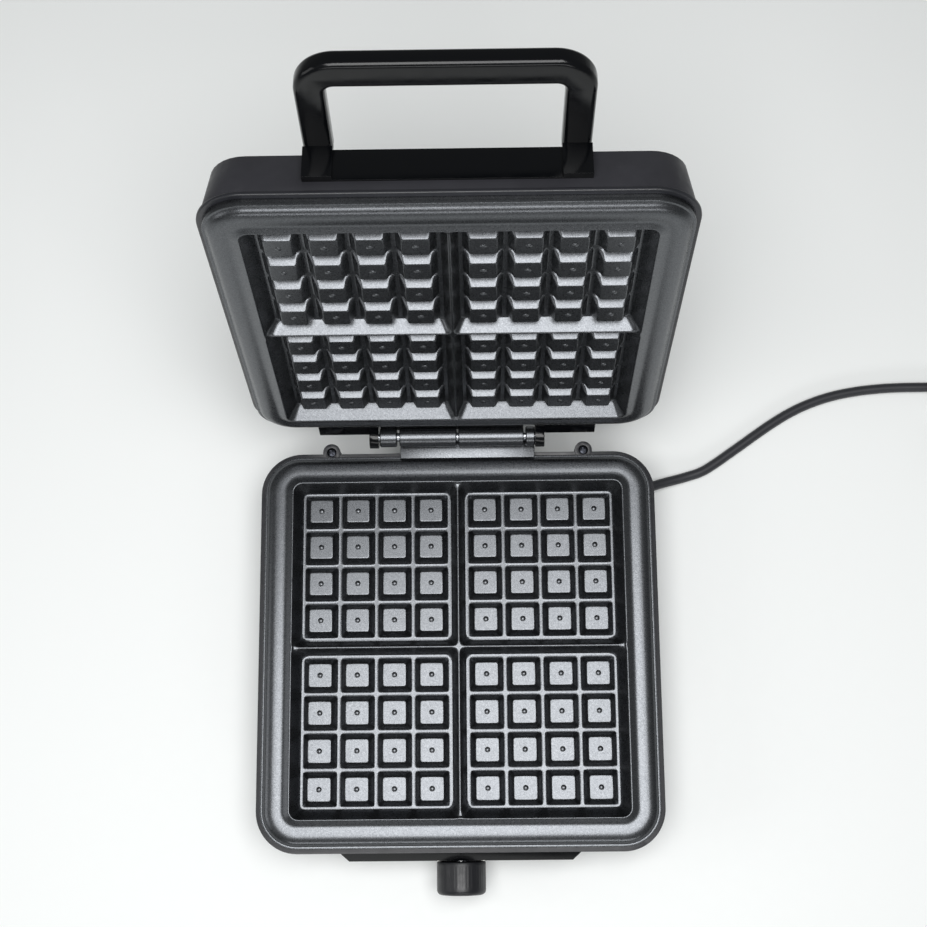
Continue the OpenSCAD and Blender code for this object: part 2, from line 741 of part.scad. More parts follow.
module cord_strain_relief() color("#2c2d31") on_body()
    translate([tunnel_start - tunnel_wall, outlet_y, outlet_z]) rotate([0, 90, 0]) {
        translate([0, 0, -1.5]) intersection() {
            cylinder(h = 1.5, d = relief_flange_d);
            translate([relief_flat - relief_flange_d, -relief_flange_d / 2, 0])
                cube([relief_flange_d, relief_flange_d, 1.5]);
        }
        cylinder(h = tunnel_wall, d = relief_neck_d);
        translate([0, 0, tunnel_wall])
            cylinder(h = relief_end - tunnel_start, d1 = relief_root_d, d2 = relief_tip_d);
    }

module power_cord() color("#33343a") {
    tube(cord_route, cord_d / 2, cord_sides);
    tube(tail_route, cord_d / 2, cord_sides);
}

module on_coil() translate([coil_centre.x, coil_centre.y, coil_low]) children();

module cord_coil() color("#33343a") on_coil() rotate_extrude()
    translate([coil_radius - coil_width / 2, 0]) square([coil_width, coil_height]);

module cord_tie() color("#d8d8d4") on_coil() rotate([0, 0, tie_angle]) translate([coil_radius, 0, 0])
    rotate([90, 0, 0]) linear_extrude(tie_width, center = true) difference() {
        translate([-coil_width / 2 - tie_gap - tie_thickness, -tie_thickness])
            square([coil_width + 2 * (tie_gap + tie_thickness), coil_height + 2 * tie_thickness]);
        translate([-coil_width / 2 - tie_gap, 0]) square([coil_width + 2 * tie_gap, coil_height]);
    }

module on_plug() translate([coil_centre.x + coil_exit, coil_centre.y - tail_length, tail_z])
    rotate([90, 0, 0]) children();

module plug_body() color("#26272b") on_plug() difference() {
    union() {
        cylinder(h = plug_relief + 1, d1 = relief_tip_d, d2 = relief_root_d);
        translate([-plug_width / 2, -plug_thickness / 2, plug_relief])
            cube([plug_width, plug_thickness, plug_length]);
    }
    for (i = [0, 1]) translate([(i - 0.5) * blade_pitch, 0, plug_relief + plug_length - blade_seat / 2])
        cube([blade_widths[i], blade_thickness, blade_seat + 0.01], center = true);
}

module plug_blades() color("#c9b458") on_plug() for (i = [0, 1])
    translate([(i - 0.5) * blade_pitch, 0, plug_relief + plug_length + (blade_length - blade_seat) / 2])
        cube([blade_widths[i], blade_thickness, blade_seat + blade_length], center = true);

// ---- Knob ----

module on_knob() on_body() translate([0, 0, knob_height]) forward(-panel_front - knob_gap) children();

knob_edge = 3;
knob_end_wall = 5;
marker_depth = 0.8;

module control_knob() color("#1d1e22") on_knob() difference() {
    rotate_extrude($fn = 72) difference() {
        polygon(concat(
            [[0, 0], [knob_d / 2 - 0.8, 0], [knob_d / 2, 0.8]],
            [for (a = [0:15:90]) [
                knob_d / 2 - knob_edge + knob_edge * cos(a),
                knob_length - knob_edge + knob_edge * sin(a)
            ]],
            [[0, knob_length]]
        ));
        translate([0, -1]) square([spindle_d / 2, knob_length - knob_end_wall + 1]);
    }
    knob_slot();
}

// The pointer slot, drawn at the knob's lowest setting
module knob_slot() rotate([0, 0, 135]) translate([-1, knob_d / 2 - 12, knob_length - marker_depth])
    cube([2, 8, marker_depth + 0.01]);

module knob_marker() color("#e6e6e2") on_knob() rotate([0, 0, 135])
    translate([-1, knob_d / 2 - 12, knob_length - marker_depth]) cube([2, 8, marker_depth]);

module knob_spindle() color("#b4b7bb") on_body() translate([0, 0, knob_height]) forward(-spindle_end)
    cylinder(h = panel_front + knob_gap + knob_length - knob_end_wall - spindle_end, d = spindle_d);

// ---- Lid, drawn shut ----

module lid_housing() color("#2b2b30") on_lid() difference() {
    union() {
        difference() {
            translate([0, 0, lid_top]) mirror([0, 0, 1]) drafted_block(body_width / 2 - housing_inset,
                body_depth / 2 - housing_inset, rim_corner - housing_inset, lid_wall_height, wall_draft);
            translate([0, 0, lid_top - wall - cover_thickness]) mirror([0, 0, 1])
                drafted_block(body_width / 2 - housing_inset - wall, body_depth / 2 - housing_inset - wall,
                    rim_corner - housing_inset - wall,
                    lid_wall_height - wall - cover_thickness + 0.01, wall_draft);
        }
        translate([-handle_width / 2 - 3, -lid_front + base_seat, lid_top - base_height - 3])
            cube([handle_width + 6, pad_thickness, base_height]);
    }
    translate([0, 0, lid_top - cover_thickness]) rounded_slab(body_width / 2 - cover_border,
        body_depth / 2 - cover_border, rim_corner - 4, cover_thickness + 1);
    translate([-handle_width / 2, -body_depth, lid_top - base_height])
        cube([handle_width, body_depth - lid_front + base_seat, base_height + 1]);
    for_handle_screws() translate([0, 0, -handle_screw_length]) cylinder(h = 40, d = handle_screw_d + 0.4);
    for_cap_screws() translate([0, 0, 1]) cylinder(h = 40, d = cap_screw_d);
}

module lid_bezel() color("#242428") on_lid() translate([0, 0, lid_bezel_z])
    rounded_ring(body_width / 2, body_depth / 2, rim_corner, bezel_inset, bezel_thickness);

module lid_top_cover() color("#b6b9bd") on_lid() translate([0, 0, lid_top - cover_thickness])
    rounded_slab(body_width / 2 - cover_border, body_depth / 2 - cover_border,
        rim_corner - 4, cover_thickness);

// Covers behind the lid: each is a side block with an arm that turns on the end of the hinge pin
cap_low = hinge_z + cap_bottom;

module lid_hinge_caps() color("#1c1d21") on_lid() both_sides() difference() {
    union() {
        translate([cap_arm_in, hinge_y, hinge_z]) rotate([0, 90, 0])
            cylinder(h = cap_arm_out - cap_arm_in, r = cap_radius);
        along_x(cap_arm_in, cap_arm_out) polygon([
            [hinge_y - cap_radius, hinge_z], [hinge_y + cap_radius, hinge_z],
            [hinge_y + cap_radius, cap_low + 6], [hinge_y - cap_radius, cap_low + 6]
        ]);
        intersection() {
            along_x(cap_arm_in, cap_end) polygon([
                [body_depth / 2, cap_low], [hinge_y + cap_rear - cap_chamfer, cap_low],
                [hinge_y + cap_rear, cap_low + cap_chamfer], [hinge_y + cap_rear, cap_low + cap_height],
                [body_depth / 2, cap_low + cap_height]
            ]);
            translate([cap_arm_in, body_depth / 2, cap_low]) linear_extrude(cap_height) polygon([
                [0, 0], [cap_end - cap_arm_in, 0],
                [cap_end - cap_arm_in, hinge_setback + cap_rear - cap_chamfer],
                [cap_end - cap_arm_in - cap_chamfer, hinge_setback + cap_rear], [0, hinge_setback + cap_rear]
            ]);
        }
    }
    translate([cap_arm_in - 1, hinge_y, hinge_z]) rotate([0, 90, 0])
        cylinder(h = pin_half + 0.6 - cap_arm_in + 1, d = hinge_bore_d);
    for (x = cap_screw_x) translate([x, hinge_y, hinge_z + cap_screw_rise]) rotate([-90, 0, 0]) {
        translate([0, 0, -40]) cylinder(h = 80, d = cap_screw_d);
        translate([0, 0, cap_rear - 2]) cylinder(h = 4, d = cap_screw_head_d);
    }
}

module for_cap_screws() both_sides() for (x = cap_screw_x)
    translate([x, hinge_y + cap_rear - 2, hinge_z + cap_screw_rise]) rotate([90, 0, 0]) children();

module hinge_cap_screws() color("#8d9095") on_lid() for_cap_screws()
    cap_screw(cap_screw_d, 18, cap_screw_head_d, 2);

// ---- Handle ----

module for_handle_screws() both_sides() for (z = [5, 12])
    translate([handle_width / 2 - handle_arm / 2, 0, lid_top - base_height + z])
        forward(-lid_front + base_seat + pad_thickness) children();

module handle_base() color("#16171b") on_lid() difference() {
    union() {
        translate([-handle_width / 2, -lid_front + base_seat - base_thickness, lid_top - base_height])
            cube([handle_width, base_thickness, base_height]);
        both_sides() translate([handle_width / 2 - handle_arm,
            -lid_front + base_seat - base_thickness - base_foot, lid_top - base_height])
                cube([handle_arm, base_foot + 1, base_height]);
    }
    for_handle_screws() cylinder(h = handle_screw_length, d = handle_screw_d);
}

module handle_bail() color("#15161a") on_lid() {
    rear = -lid_front + base_seat;
    half = handle_width / 2;
    translate([0, 0, lid_top]) linear_extrude(handle_thickness) intersection() {
        translate([0, handle_front + handle_width]) difference() {
            rounded_outline(half, handle_width, handle_corner);
            translate([0, handle_bar]) rounded_outline(half - handle_arm, handle_width, handle_inner_corner);
        }
        translate([-half, handle_front]) square([handle_width, rear - handle_front]);
    }
}

module handle_screws() color("#a0a3a8") on_lid() for_handle_screws()
    cap_screw(handle_screw_d, handle_screw_length - 0.5, handle_screw_head_d, handle_screw_head);

lower_housing();
lower_bezel();
lower_cooking_plate();
lower_heating_element();
lower_heat_shield();
lower_plate_screws();
control_panel();
indicator_lenses();
indicator_lamps();
thermostat();
thermostat_bracket();
thermal_fuse();
terminal_block();
bottom_cover();
bottom_cover_screws();
rubber_feet();
rear_lug_screws();
hinge_pin();
cord_strain_relief();
power_cord();
cord_coil();
cord_tie();
plug_body();
plug_blades();
control_knob();
knob_spindle();
knob_marker();
lid_housing();
lid_bezel();
lid_top_cover();
upper_cooking_plate();
upper_heating_element();
upper_heat_shield();
upper_plate_screws();
lid_hinge_caps();
hinge_cap_screws();
handle_base();
handle_bail();
handle_screws();
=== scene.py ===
"""A Belgian waffle maker, standing open on a table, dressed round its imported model.

Sizes in the classes are millimetres in the plates' own frame: the middle of the cooking plates is at
x = y = 0, z = 0 is the table, and the lid is drawn shut. Two placements carry them into the scene.
"""

from __future__ import annotations

import logging
import math
from dataclasses import dataclass, field
from enum import Enum
from typing import Iterable, Sequence

import bmesh
import bpy
import numpy as np
from mathutils import Matrix, Vector

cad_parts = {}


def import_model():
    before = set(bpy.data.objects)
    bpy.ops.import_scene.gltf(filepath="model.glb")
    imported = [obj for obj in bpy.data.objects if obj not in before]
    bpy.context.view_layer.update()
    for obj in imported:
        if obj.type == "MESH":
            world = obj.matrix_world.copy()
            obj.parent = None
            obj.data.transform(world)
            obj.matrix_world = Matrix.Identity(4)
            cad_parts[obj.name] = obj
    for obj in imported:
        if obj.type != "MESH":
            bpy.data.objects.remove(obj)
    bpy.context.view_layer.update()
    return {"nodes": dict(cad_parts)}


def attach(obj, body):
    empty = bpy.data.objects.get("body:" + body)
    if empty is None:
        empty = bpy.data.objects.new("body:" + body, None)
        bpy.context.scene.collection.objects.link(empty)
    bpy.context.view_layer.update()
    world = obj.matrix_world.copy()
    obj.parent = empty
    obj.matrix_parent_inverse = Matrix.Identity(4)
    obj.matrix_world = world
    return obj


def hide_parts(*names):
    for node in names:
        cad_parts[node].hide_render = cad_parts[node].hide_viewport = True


MM = 0.001
log = logging.getLogger("waffle_maker")

Points = Sequence[Sequence[float]]
Colour = tuple[float, float, float, float]


class Body(str, Enum):
    """The bodies that pieces ride on."""

    BASE = "base"
    LID = "lid"
    KNOB = "knob"


@dataclass(frozen=True)
class Placement:
    """Where the halves stand: both share one plan frame, and the lid turns back about its hinge."""

    shift_y: float = -51.0
    hinge_y: float = 143.6
    hinge_z: float = 67.5
    parting_z: float = 65.0
    open_angle: float = 102.6

    def base(self) -> Matrix:
        """The lower half's place, in millimetres."""
        return Matrix.Translation((0, self.shift_y, 0))

    def lid(self) -> Matrix:
        """The lid's place at rest, from its shut place, in millimetres."""
        hinge = Matrix.Translation((0, self.hinge_y, self.hinge_z))
        swing = hinge @ Matrix.Rotation(-math.radians(self.open_angle), 4, "X") @ hinge.inverted()
        return self.base() @ swing

    def lid_mirror(self) -> Matrix:
        """The place of a lower half's shape when it is used, mirrored, in the lid."""
        over = Matrix.Translation((0, 0, 2 * self.parting_z)) @ Matrix.Scale(-1, 4, (0, 0, 1))
        return self.lid() @ over


PLACE = Placement()


# ---- Shading ----


def srgb(code: str, alpha: float = 1.0) -> Colour:
    """Turns a colour such as "#2b2b30" into the linear values that shaders take.

    Args:
        code: The sRGB colour in hex.
        alpha: The fourth value.

    Returns:
        Linear red, green and blue, and alpha.
    """
    parts = [int(code[i : i + 2], 16) / 255 for i in (1, 3, 5)]
    red, green, blue = [c / 12.92 if c <= 0.04045 else ((c + 0.055) / 1.055) ** 2.4 for c in parts]
    return red, green, blue, alpha


def add_node(tree: bpy.types.NodeTree, kind: str, inputs: dict | None = None, **settings) -> bpy.types.Node:
    """Adds a node to a tree.

    Args:
        tree: The shader or geometry tree.
        kind: The node's type name.
        inputs: What goes into each input, by name or number: a value, or another node's output.
        settings: The node's own settings.

    Returns:
        The new node.
    """
    node = tree.nodes.new(kind)
    for key, value in settings.items():
        setattr(node, key, value)
    for key, value in (inputs or {}).items():
        if isinstance(value, bpy.types.NodeSocket):
            tree.links.new(value, node.inputs[key])
        else:
            node.inputs[key].default_value = value
    return node


@dataclass(frozen=True)
class Finish:
    """A plain finish. The kinds below add the detail that its making leaves on the surface."""

    name: str
    colour: str
    roughness: float = 0.5
    metallic: float = 0.0
    ior: float = 1.5

    def material(self) -> bpy.types.Material:
        """Builds the material once, and returns it every time it is asked for."""
        known = bpy.data.materials.get(self.name)
        if known:
            return known
        material = bpy.data.materials.new(self.name)
        material.use_nodes = True
        tree = material.node_tree
        tree.nodes.clear()
        shader = add_node(
            tree,
            "ShaderNodeBsdfPrincipled",
            {"Base Color": srgb(self.colour), "Roughness": self.roughness, "Metallic": self.metallic},
        )
        if not self.metallic:
            shader.inputs["IOR"].default_value = self.ior
        add_node(tree, "ShaderNodeOutputMaterial", {"Surface": shader.outputs[0]})
        place = add_node(tree, "ShaderNodeTexCoord").outputs["Object"]
        self.detail(tree, shader, place)
        return material

    def detail(self, tree: bpy.types.NodeTree, shader: bpy.types.Node, place: bpy.types.NodeSocket) -> None:
        """Adds this finish's pattern: handling leaves a faint unevenness in the gloss.

        Args:
            tree: The material's tree.
            shader: Its Principled shader.
            place: The coordinates that patterns read, in metres.
        """
        self.uneven_gloss(tree, shader, place, patch_mm=9.0, spread=0.06)

    def uneven_gloss(
        self,
        tree: bpy.types.NodeTree,
        shader: bpy.types.Node,
        place: bpy.types.NodeSocket,
        patch_mm: float,
        spread: float,
    ) -> None:
        """Varies the roughness in soft patches.

        Args:
            tree: The material's tree.
            shader: Its Principled shader.
            place: The coordinates that patterns read.
            patch_mm: The size of a patch.
            spread: How far the roughness goes either side of the finish's own.
        """
        noise = add_node(
            tree,
            "ShaderNodeTexNoise",
            {"Vector": place, "Scale": 1 / (patch_mm * MM), "Detail": 4.0, "Roughness": 0.6},
        )
        spread_out = add_node(
            tree,
            "ShaderNodeMapRange",
            {
                "Value": noise.outputs["Fac"],
                "From Min": 0.3,
                "From Max": 0.7,
                "To Min": max(self.roughness - spread, 0.02),
                "To Max": self.roughness + spread,
            },
        )
        tree.links.new(spread_out.outputs[0], shader.inputs["Roughness"])

    def grain(
        self,
        tree: bpy.types.NodeTree,
        shader: bpy.types.Node,
        place: bpy.types.NodeSocket,
        grain_mm: float,
        depth_mm: float,
    ) -> None:
        """Raises a fine grain by bump.

        Args:
            tree: The material's tree.
            shader: Its Principled shader.
            place: The coordinates that patterns read.
            grain_mm: The spacing of the grain.
            depth_mm: Its height.
        """
        noise = add_node(
            tree, "ShaderNodeTexNoise", {"Vector": place, "Scale": 1 / (grain_mm * MM), "Detail": 2.0}
        )
        bump = add_node(
            tree,
            "ShaderNodeBump",
            {"Height": noise.outputs["Fac"], "Distance": depth_mm * MM, "Strength": 0.6},
        )
        tree.links.new(bump.outputs[0], shader.inputs["Normal"])

    def two_tone(
        self,
        tree: bpy.types.NodeTree,
        shader: bpy.types.Node,
        place: bpy.types.NodeSocket,
        other: str,
        patch_mm: float,
    ) -> None:
        """Clouds the colour between the finish's own and another.

        Args:
            tree: The material's tree.
            shader: Its Principled shader.
            place: The coordinates that patterns read.
            other: The second colour, in hex.
            patch_mm: The size of a cloud.
        """
        noise = add_node(
            tree, "ShaderNodeTexNoise", {"Vector": place, "Scale": 1 / (patch_mm * MM), "Detail": 5.0}
        )
        mix = tree.nodes.new("ShaderNodeMix")
        mix.data_type = "RGBA"
        tree.links.new(noise.outputs["Fac"], mix.inputs[0])
        mix.inputs[6].default_value = srgb(self.colour)
        mix.inputs[7].default_value = srgb(other)
        tree.links.new(mix.outputs[2], shader.inputs["Base Color"])


@dataclass(frozen=True)
class MouldedPlastic(Finish):
    """Injection-moulded plastic, whose tool was spark-eroded: a fine even grain breaks up its gloss."""

    grain_mm: float = 0.7
    depth_mm: float = 0.03
    second_colour: str = "#303035"

    def detail(self, tree: bpy.types.NodeTree, shader: bpy.types.Node, place: bpy.types.NodeSocket) -> None:
        """Adds the eroded grain, a faint cloud in the colour and an uneven sheen."""
        self.two_tone(tree, shader, place, self.second_colour, patch_mm=22.0)
        self.uneven_gloss(tree, shader, place, patch_mm=6.0, spread=0.07)
        self.grain(tree, shader, place, self.grain_mm, self.depth_mm)


@dataclass(frozen=True)
class PolishedPlastic(Finish):
    """Plastic from a polished tool: deep black with a clear gloss, slightly rippled where it cooled."""

    ripple_mm: float = 14.0

    def detail(self, tree: bpy.types.NodeTree, shader: bpy.types.Node, place: bpy.types.NodeSocket) -> None:
        """Adds the long ripple and a patchy gloss left by fingers."""
        self.uneven_gloss(tree, shader, place, patch_mm=11.0, spread=0.05)
        self.grain(tree, shader, place, self.ripple_mm, depth_mm=0.05)


@dataclass(frozen=True)
class NonStickCoating(Finish):
    """Sprayed non-stick coating on cast aluminium: a grey film full of mica flakes that sparkle.

    Real flakes are near 0.1 mm; they are drawn at flake_mm, or none would show.
    """

    flake_mm: float = 0.5
    flake_colour: str = "#d9dbdd"
    peel_mm: float = 2.2

    def detail(self, tree: bpy.types.NodeTree, shader: bpy.types.Node, place: bpy.types.NodeSocket) -> None:
        """Adds bright flakes, each tilted its own way, over the film's orange peel."""
        cells = add_node(
            tree, "ShaderNodeTexVoronoi", {"Vector": place, "Scale": 1 / (self.flake_mm * MM)}
        )
        split = add_node(tree, "ShaderNodeSeparateColor", {"Color": cells.outputs["Color"]})
        bright = add_node(
            tree,
            "ShaderNodeMapRange",
            {"Value": split.outputs[0], "From Min": 0.15, "From Max": 1.0, "To Min": 0.0, "To Max": 0.22},
        )
        mix = tree.nodes.new("ShaderNodeMix")
        mix.data_type = "RGBA"
        tree.links.new(bright.outputs[0], mix.inputs[0])
        mix.inputs[6].default_value = srgb(self.colour)
        mix.inputs[7].default_value = srgb(self.flake_colour)
        tree.links.new(mix.outputs[2], shader.inputs["Base Color"])
        rough = add_node(
            tree,
            "ShaderNodeMapRange",
            {
                "Value": split.outputs[1],
                "To Min": self.roughness - 0.04,
                "To Max": self.roughness + 0.05,
            },
        )
        tree.links.new(rough.outputs[0], shader.inputs["Roughness"])
        peel = add_node(
            tree, "ShaderNodeTexNoise", {"Vector": place, "Scale": 1 / (self.peel_mm * MM), "Detail": 3.0}
        )
        low = add_node(
            tree,
            "ShaderNodeBump",
            {"Height": peel.outputs["Fac"], "Distance": 0.01 * MM, "Strength": 0.15},
        )
        flakes = add_node(
            tree,
            "ShaderNodeBump",
            {
                "Height": split.outputs[2],
                "Distance": 0.01 * MM,
                "Strength": 0.06,
                "Normal": low.outputs[0],
            },
        )
        tree.links.new(flakes.outputs[0], shader.inputs["Normal"])


@dataclass(frozen=True)
class BrushedMetal(Finish):
    """Metal finished with an abrasive belt along X, which leaves long fine lines."""

    metallic: float = 1.0
    line_mm: float = 0.35
    length_mm: float = 40.0

    def detail(self, tree: bpy.types.NodeTree, shader: bpy.types.Node, place: bpy.types.NodeSocket) -> None:
        """Adds the belt's lines to the roughness and the bump."""
        across = 1 / (self.line_mm * MM)
        along = 1 / (self.length_mm * MM)
        stretched = add_node(tree, "ShaderNodeMapping", {"Vector": place, "Scale": (along, across, across)})
        noise = add_node(
            tree, "ShaderNodeTexNoise", {"Vector": stretched.outputs[0], "Scale": 1.0, "Detail": 3.0}
        )
        rough = add_node(
            tree,
            "ShaderNodeMapRange",
            {
                "Value": noise.outputs["Fac"],
                "From Min": 0.3,
                "From Max": 0.7,
                "To Min": self.roughness - 0.08,
                "To Max": self.roughness + 0.08,
            },
        )
        tree.links.new(rough.outputs[0], shader.inputs["Roughness"])
        bump = add_node(
            tree,
            "ShaderNodeBump",
            {"Height": noise.outputs["Fac"], "Distance": 0.01 * MM, "Strength": 0.4},
        )
        tree.links.new(bump.outputs[0], shader.inputs["Normal"])


@dataclass(frozen=True)
class HeatedSteel(Finish):
    """A steel tube that has run hot: straw and blue tints drift along it."""

    metallic: float = 1.0
    tint: str = "#5a4a40"

    def detail(self, tree: bpy.types.NodeTree, shader: bpy.types.Node, place: bpy.types.NodeSocket) -> None:
        """Adds the tints and a dull scale."""
        self.two_tone(tree, shader, place, self.tint, patch_mm=35.0)
        self.uneven_gloss(tree, shader, place, patch_mm=5.0, spread=0.1)
        self.grain(tree, shader, place, 0.8, 0.02)


@dataclass(frozen=True)
class ClearPart(Finish):
    """A clear or tinted part that light passes through."""

    density: float = 0.85

    def detail(self, tree: bpy.types.NodeTree, shader: bpy.types.Node, place: bpy.types.NodeSocket) -> None:
        """Lets light through and leaves the gloss a little uneven."""
        shader.inputs["Transmission Weight"].default_value = self.density
        self.uneven_gloss(tree, shader, place, patch_mm=3.0, spread=0.03)


@dataclass(frozen=True)
class SoftMoulding(Finish):
    """A soft rubber or vinyl moulding, matt, with a faint bloom on its skin."""

    bloom: str = "#3d3e42"
    grain_mm: float = 0.9

    def detail(self, tree: bpy.types.NodeTree, shader: bpy.types.Node, place: bpy.types.NodeSocket) -> None:
        """Adds the bloom, a low sheen and the skin's grain."""
        shader.inputs["Sheen Weight"].default_value = 0.08
        shader.inputs["Sheen Roughness"].default_value = 0.5
        self.two_tone(tree, shader, place, self.bloom, patch_mm=8.0)
        self.uneven_gloss(tree, shader, place, patch_mm=5.0, spread=0.08)
        self.grain(tree, shader, place, self.grain_mm, 0.025)


SHELL_PLASTIC = MouldedPlastic("charcoal_polypropylene_shell", "#232327", roughness=0.46)
RIM_PLASTIC = MouldedPlastic("satin_black_rim", "#1a1b1f", roughness=0.38, second_colour="#232429")
KNOB_BLACK = MouldedPlastic("satin_black_knob", "#111216", roughness=0.42, second_colour="#17181c")
GLOSS_BLACK = PolishedPlastic("polished_black_phenolic", "#060709", roughness=0.17, ior=1.36)
NON_STICK = NonStickCoating(
    "grey_mica_non_stick", "#56585b", roughness=0.3, metallic=0.97, flake_colour="#87898c"
)
BRUSHED_COVER = BrushedMetal("brushed_stainless_cover", "#b9bbbd", roughness=0.3)
PLATED_STEEL = BrushedMetal("zinc_plated_steel", "#a9acb1", roughness=0.28, length_mm=2.0)
BLACK_SCREW = BrushedMetal("blackened_steel_screw", "#3b3d43", roughness=0.36, length_mm=2.0)
SHEET_ALUMINIUM = BrushedMetal("mill_aluminium_sheet", "#c3c5c8", roughness=0.34, length_mm=60.0)
HEATER_SHEATH = HeatedSteel("heat_tinted_sheath", "#8d8478", roughness=0.42)
FOOT_RUBBER = SoftMoulding("moulded_foot_rubber", "#161618", roughness=0.75, bloom="#242427")
CORD_VINYL = SoftMoulding("soft_vinyl_jacket", "#222327", roughness=0.5, bloom="#2b2c31")
RED_LENS = ClearPart("red_acrylic_lens", "#a3150f", roughness=0.1, ior=1.49, density=0.6)
NEON_GLASS = ClearPart("neon_lamp_glass", "#f0b690", roughness=0.05, ior=1.47)
STEATITE = Finish("unglazed_steatite", "#dcd8cb", roughness=0.7)
POINTER_WHITE = Finish("white_pointer_inlay", "#dcdcd8", roughness=0.45)
TIE_PLASTIC = SoftMoulding("plastic_coated_tie", "#d3d4d0", roughness=0.5, bloom="#c4c5c1")
NICKEL_BRASS = BrushedMetal("nickel_washed_brass", "#cdbb86", roughness=0.24, length_mm=6.0)


# ---- Mesh building ----


def round_max(a: np.ndarray, b: np.ndarray, radius: float) -> np.ndarray:
    """The larger of two fields, with the crease between them turned into a round corner."""
    middle = (a + b - np.sqrt(np.maximum(2 * radius**2 - (a - b) ** 2, 0))) / 2
    return np.where(np.abs(a - b) >= radius, np.maximum(a, b), middle + radius)


def soft_min(a: np.ndarray, b: np.ndarray, reach: float) -> np.ndarray:
    """The smaller of two fields, eased over `reach` where they cross."""
    share = np.clip(0.5 + 0.5 * (b - a) / reach, 0, 1)
    return b * (1 - share) + a * share - reach * share * (1 - share)


def soft_max(a: np.ndarray, b: np.ndarray, reach: float) -> np.ndarray:
    """The larger of two fields, eased over `reach` where they cross."""
    return -soft_min(-a, -b, reach)


def put(
    piece: bpy.types.Object, body: Body, replaced: Iterable[str] = ()
) -> bpy.types.Object:
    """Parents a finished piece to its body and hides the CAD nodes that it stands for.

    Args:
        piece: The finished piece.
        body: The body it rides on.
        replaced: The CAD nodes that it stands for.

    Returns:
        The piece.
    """
    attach(piece, body.value)
    names = list(replaced)
    if names:
        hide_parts(*names)
    return piece


class Sketch:
    """Collects closed shells in millimetres and turns them into one finished object."""

    def __init__(self) -> None:
        """Starts an empty sketch."""
        self.points: list[Vector] = []
        self.faces: list[list[int]] = []

    def add(self, points: Iterable[Sequence[float]], faces: Iterable[Sequence[int]]) -> None:
        """Adds points and the faces between them."""
        start = len(self.points)
        self.points.extend(Vector(p) for p in points)
        self.faces.extend([start + i for i in face] for face in faces)

    def loft(self, loops: Sequence[Points], closed_ends: bool = True) -> None:
        """Joins loops of equal length into a skin.

        Args:
            loops: The loops in order, each a ring of points.
            closed_ends: Whether the first and last loops are filled.
        """
        count = len(loops[0])
        sides = [(k, (k + 1) % count) for k in range(count)]
        faces = [
            [i * count + k, i * count + after, (i + 1) * count + after, (i + 1) * count + k]
            for i in range(len(loops) - 1)
            for k, after in sides
        ]
        if closed_ends:
            faces.append(list(range(count))[::-1])
            faces.append([(len(loops) - 1) * count + k for k in range(count)])
        self.add([p for loop in loops for p in loop], faces)

    def lathe(self, profile: Points, steps: int, place: Matrix = Matrix.Identity(4)) -> None:
        """Turns a profile of (radius, height) about Z.

        Args:
            profile: The outline from its lower end to its upper one.
            steps: The number of faces round it.
            place: Where the turned shape goes.
        """
        turns = [2 * math.pi * k / steps for k in range(steps)]
        loops = [
            [place @ Vector((r * math.cos(a), r * math.sin(a), z)) for a in turns] for r, z in profile
        ]
        self.loft(loops)

    def block(self, low: Sequence[float], high: Sequence[float], edge: float, steps: int = 2) -> None:
        """Adds a box with rounded edges.

        Args:
            low: Its lowest corner.
            high: Its highest corner.
            edge: The size of the rounding.
            steps: The number of faces across it.
        """
        outline = [(low[1], low[2]), (high[1], low[2]), (high[1], high[2]), (low[1], high[2])]
        self.bar(outline, low[0], high[0], edge, steps)

    def bar(self, outline: Points, x0: float, x1: float, edge: float, steps: int = 2) -> None:
        """Adds an outline of (y, z) run along X, with rounded edges.

        Args:
            outline: The outline, once round.
            x0: Where the bar starts.
            x1: Where it ends.
            edge: The size of the rounding.
            steps: The number of faces across it.
        """
        count = len(outline)
        shape = bmesh.new()
        ends = [[shape.verts.new((x, y, z)) for y, z in outline] for x in (x0, x1)]
        for k in range(count):
            after = (k + 1) % count
            shape.faces.new([ends[0][k], ends[0][after], ends[1][after], ends[1][k]])
        shape.faces.new(ends[0][::-1])
        shape.faces.new(ends[1])
        bmesh.ops.bevel(
            shape, geom=shape.edges[:], offset=edge, segments=steps, profile=0.5, affect="EDGES"
        )
        shape.verts.index_update()
        self.add([v.co.copy() for v in shape.verts], [[v.index for v in f.verts] for f in shape.faces])
        shape.free()

    def build(
        self, name: str, finish: Finish, place: Matrix = Matrix.Identity(4), sharp_deg: float = 38.0
    ) -> bpy.types.Object:
        """Makes the object.

        Args:
            name: The piece's name.
            finish: Its finish.
            place: Where the sketch goes in the scene, in millimetres.
            sharp_deg: Edges steeper than this stay crisp.

        Returns:
            The object, at the origin, with its place in its mesh.
        """
        mesh = bpy.data.meshes.new(name)
        mesh.from_pydata([(place @ p) * MM for p in self.points], [], self.faces)
        shape = bmesh.new()
        shape.from_mesh(mesh)
        bmesh.ops.remove_doubles(shape, verts=shape.verts[:], dist=0.004 * MM)
        bmesh.ops.recalc_face_normals(shape, faces=shape.faces[:])
        shape.to_mesh(mesh)
        shape.free()
        mesh.shade_smooth()
        mesh.set_sharp_from_angle(angle=math.radians(sharp_deg))
        mesh.materials.append(finish.material())
        piece = bpy.data.objects.new(name, mesh)
        bpy.context.scene.collection.objects.link(piece)
        return piece


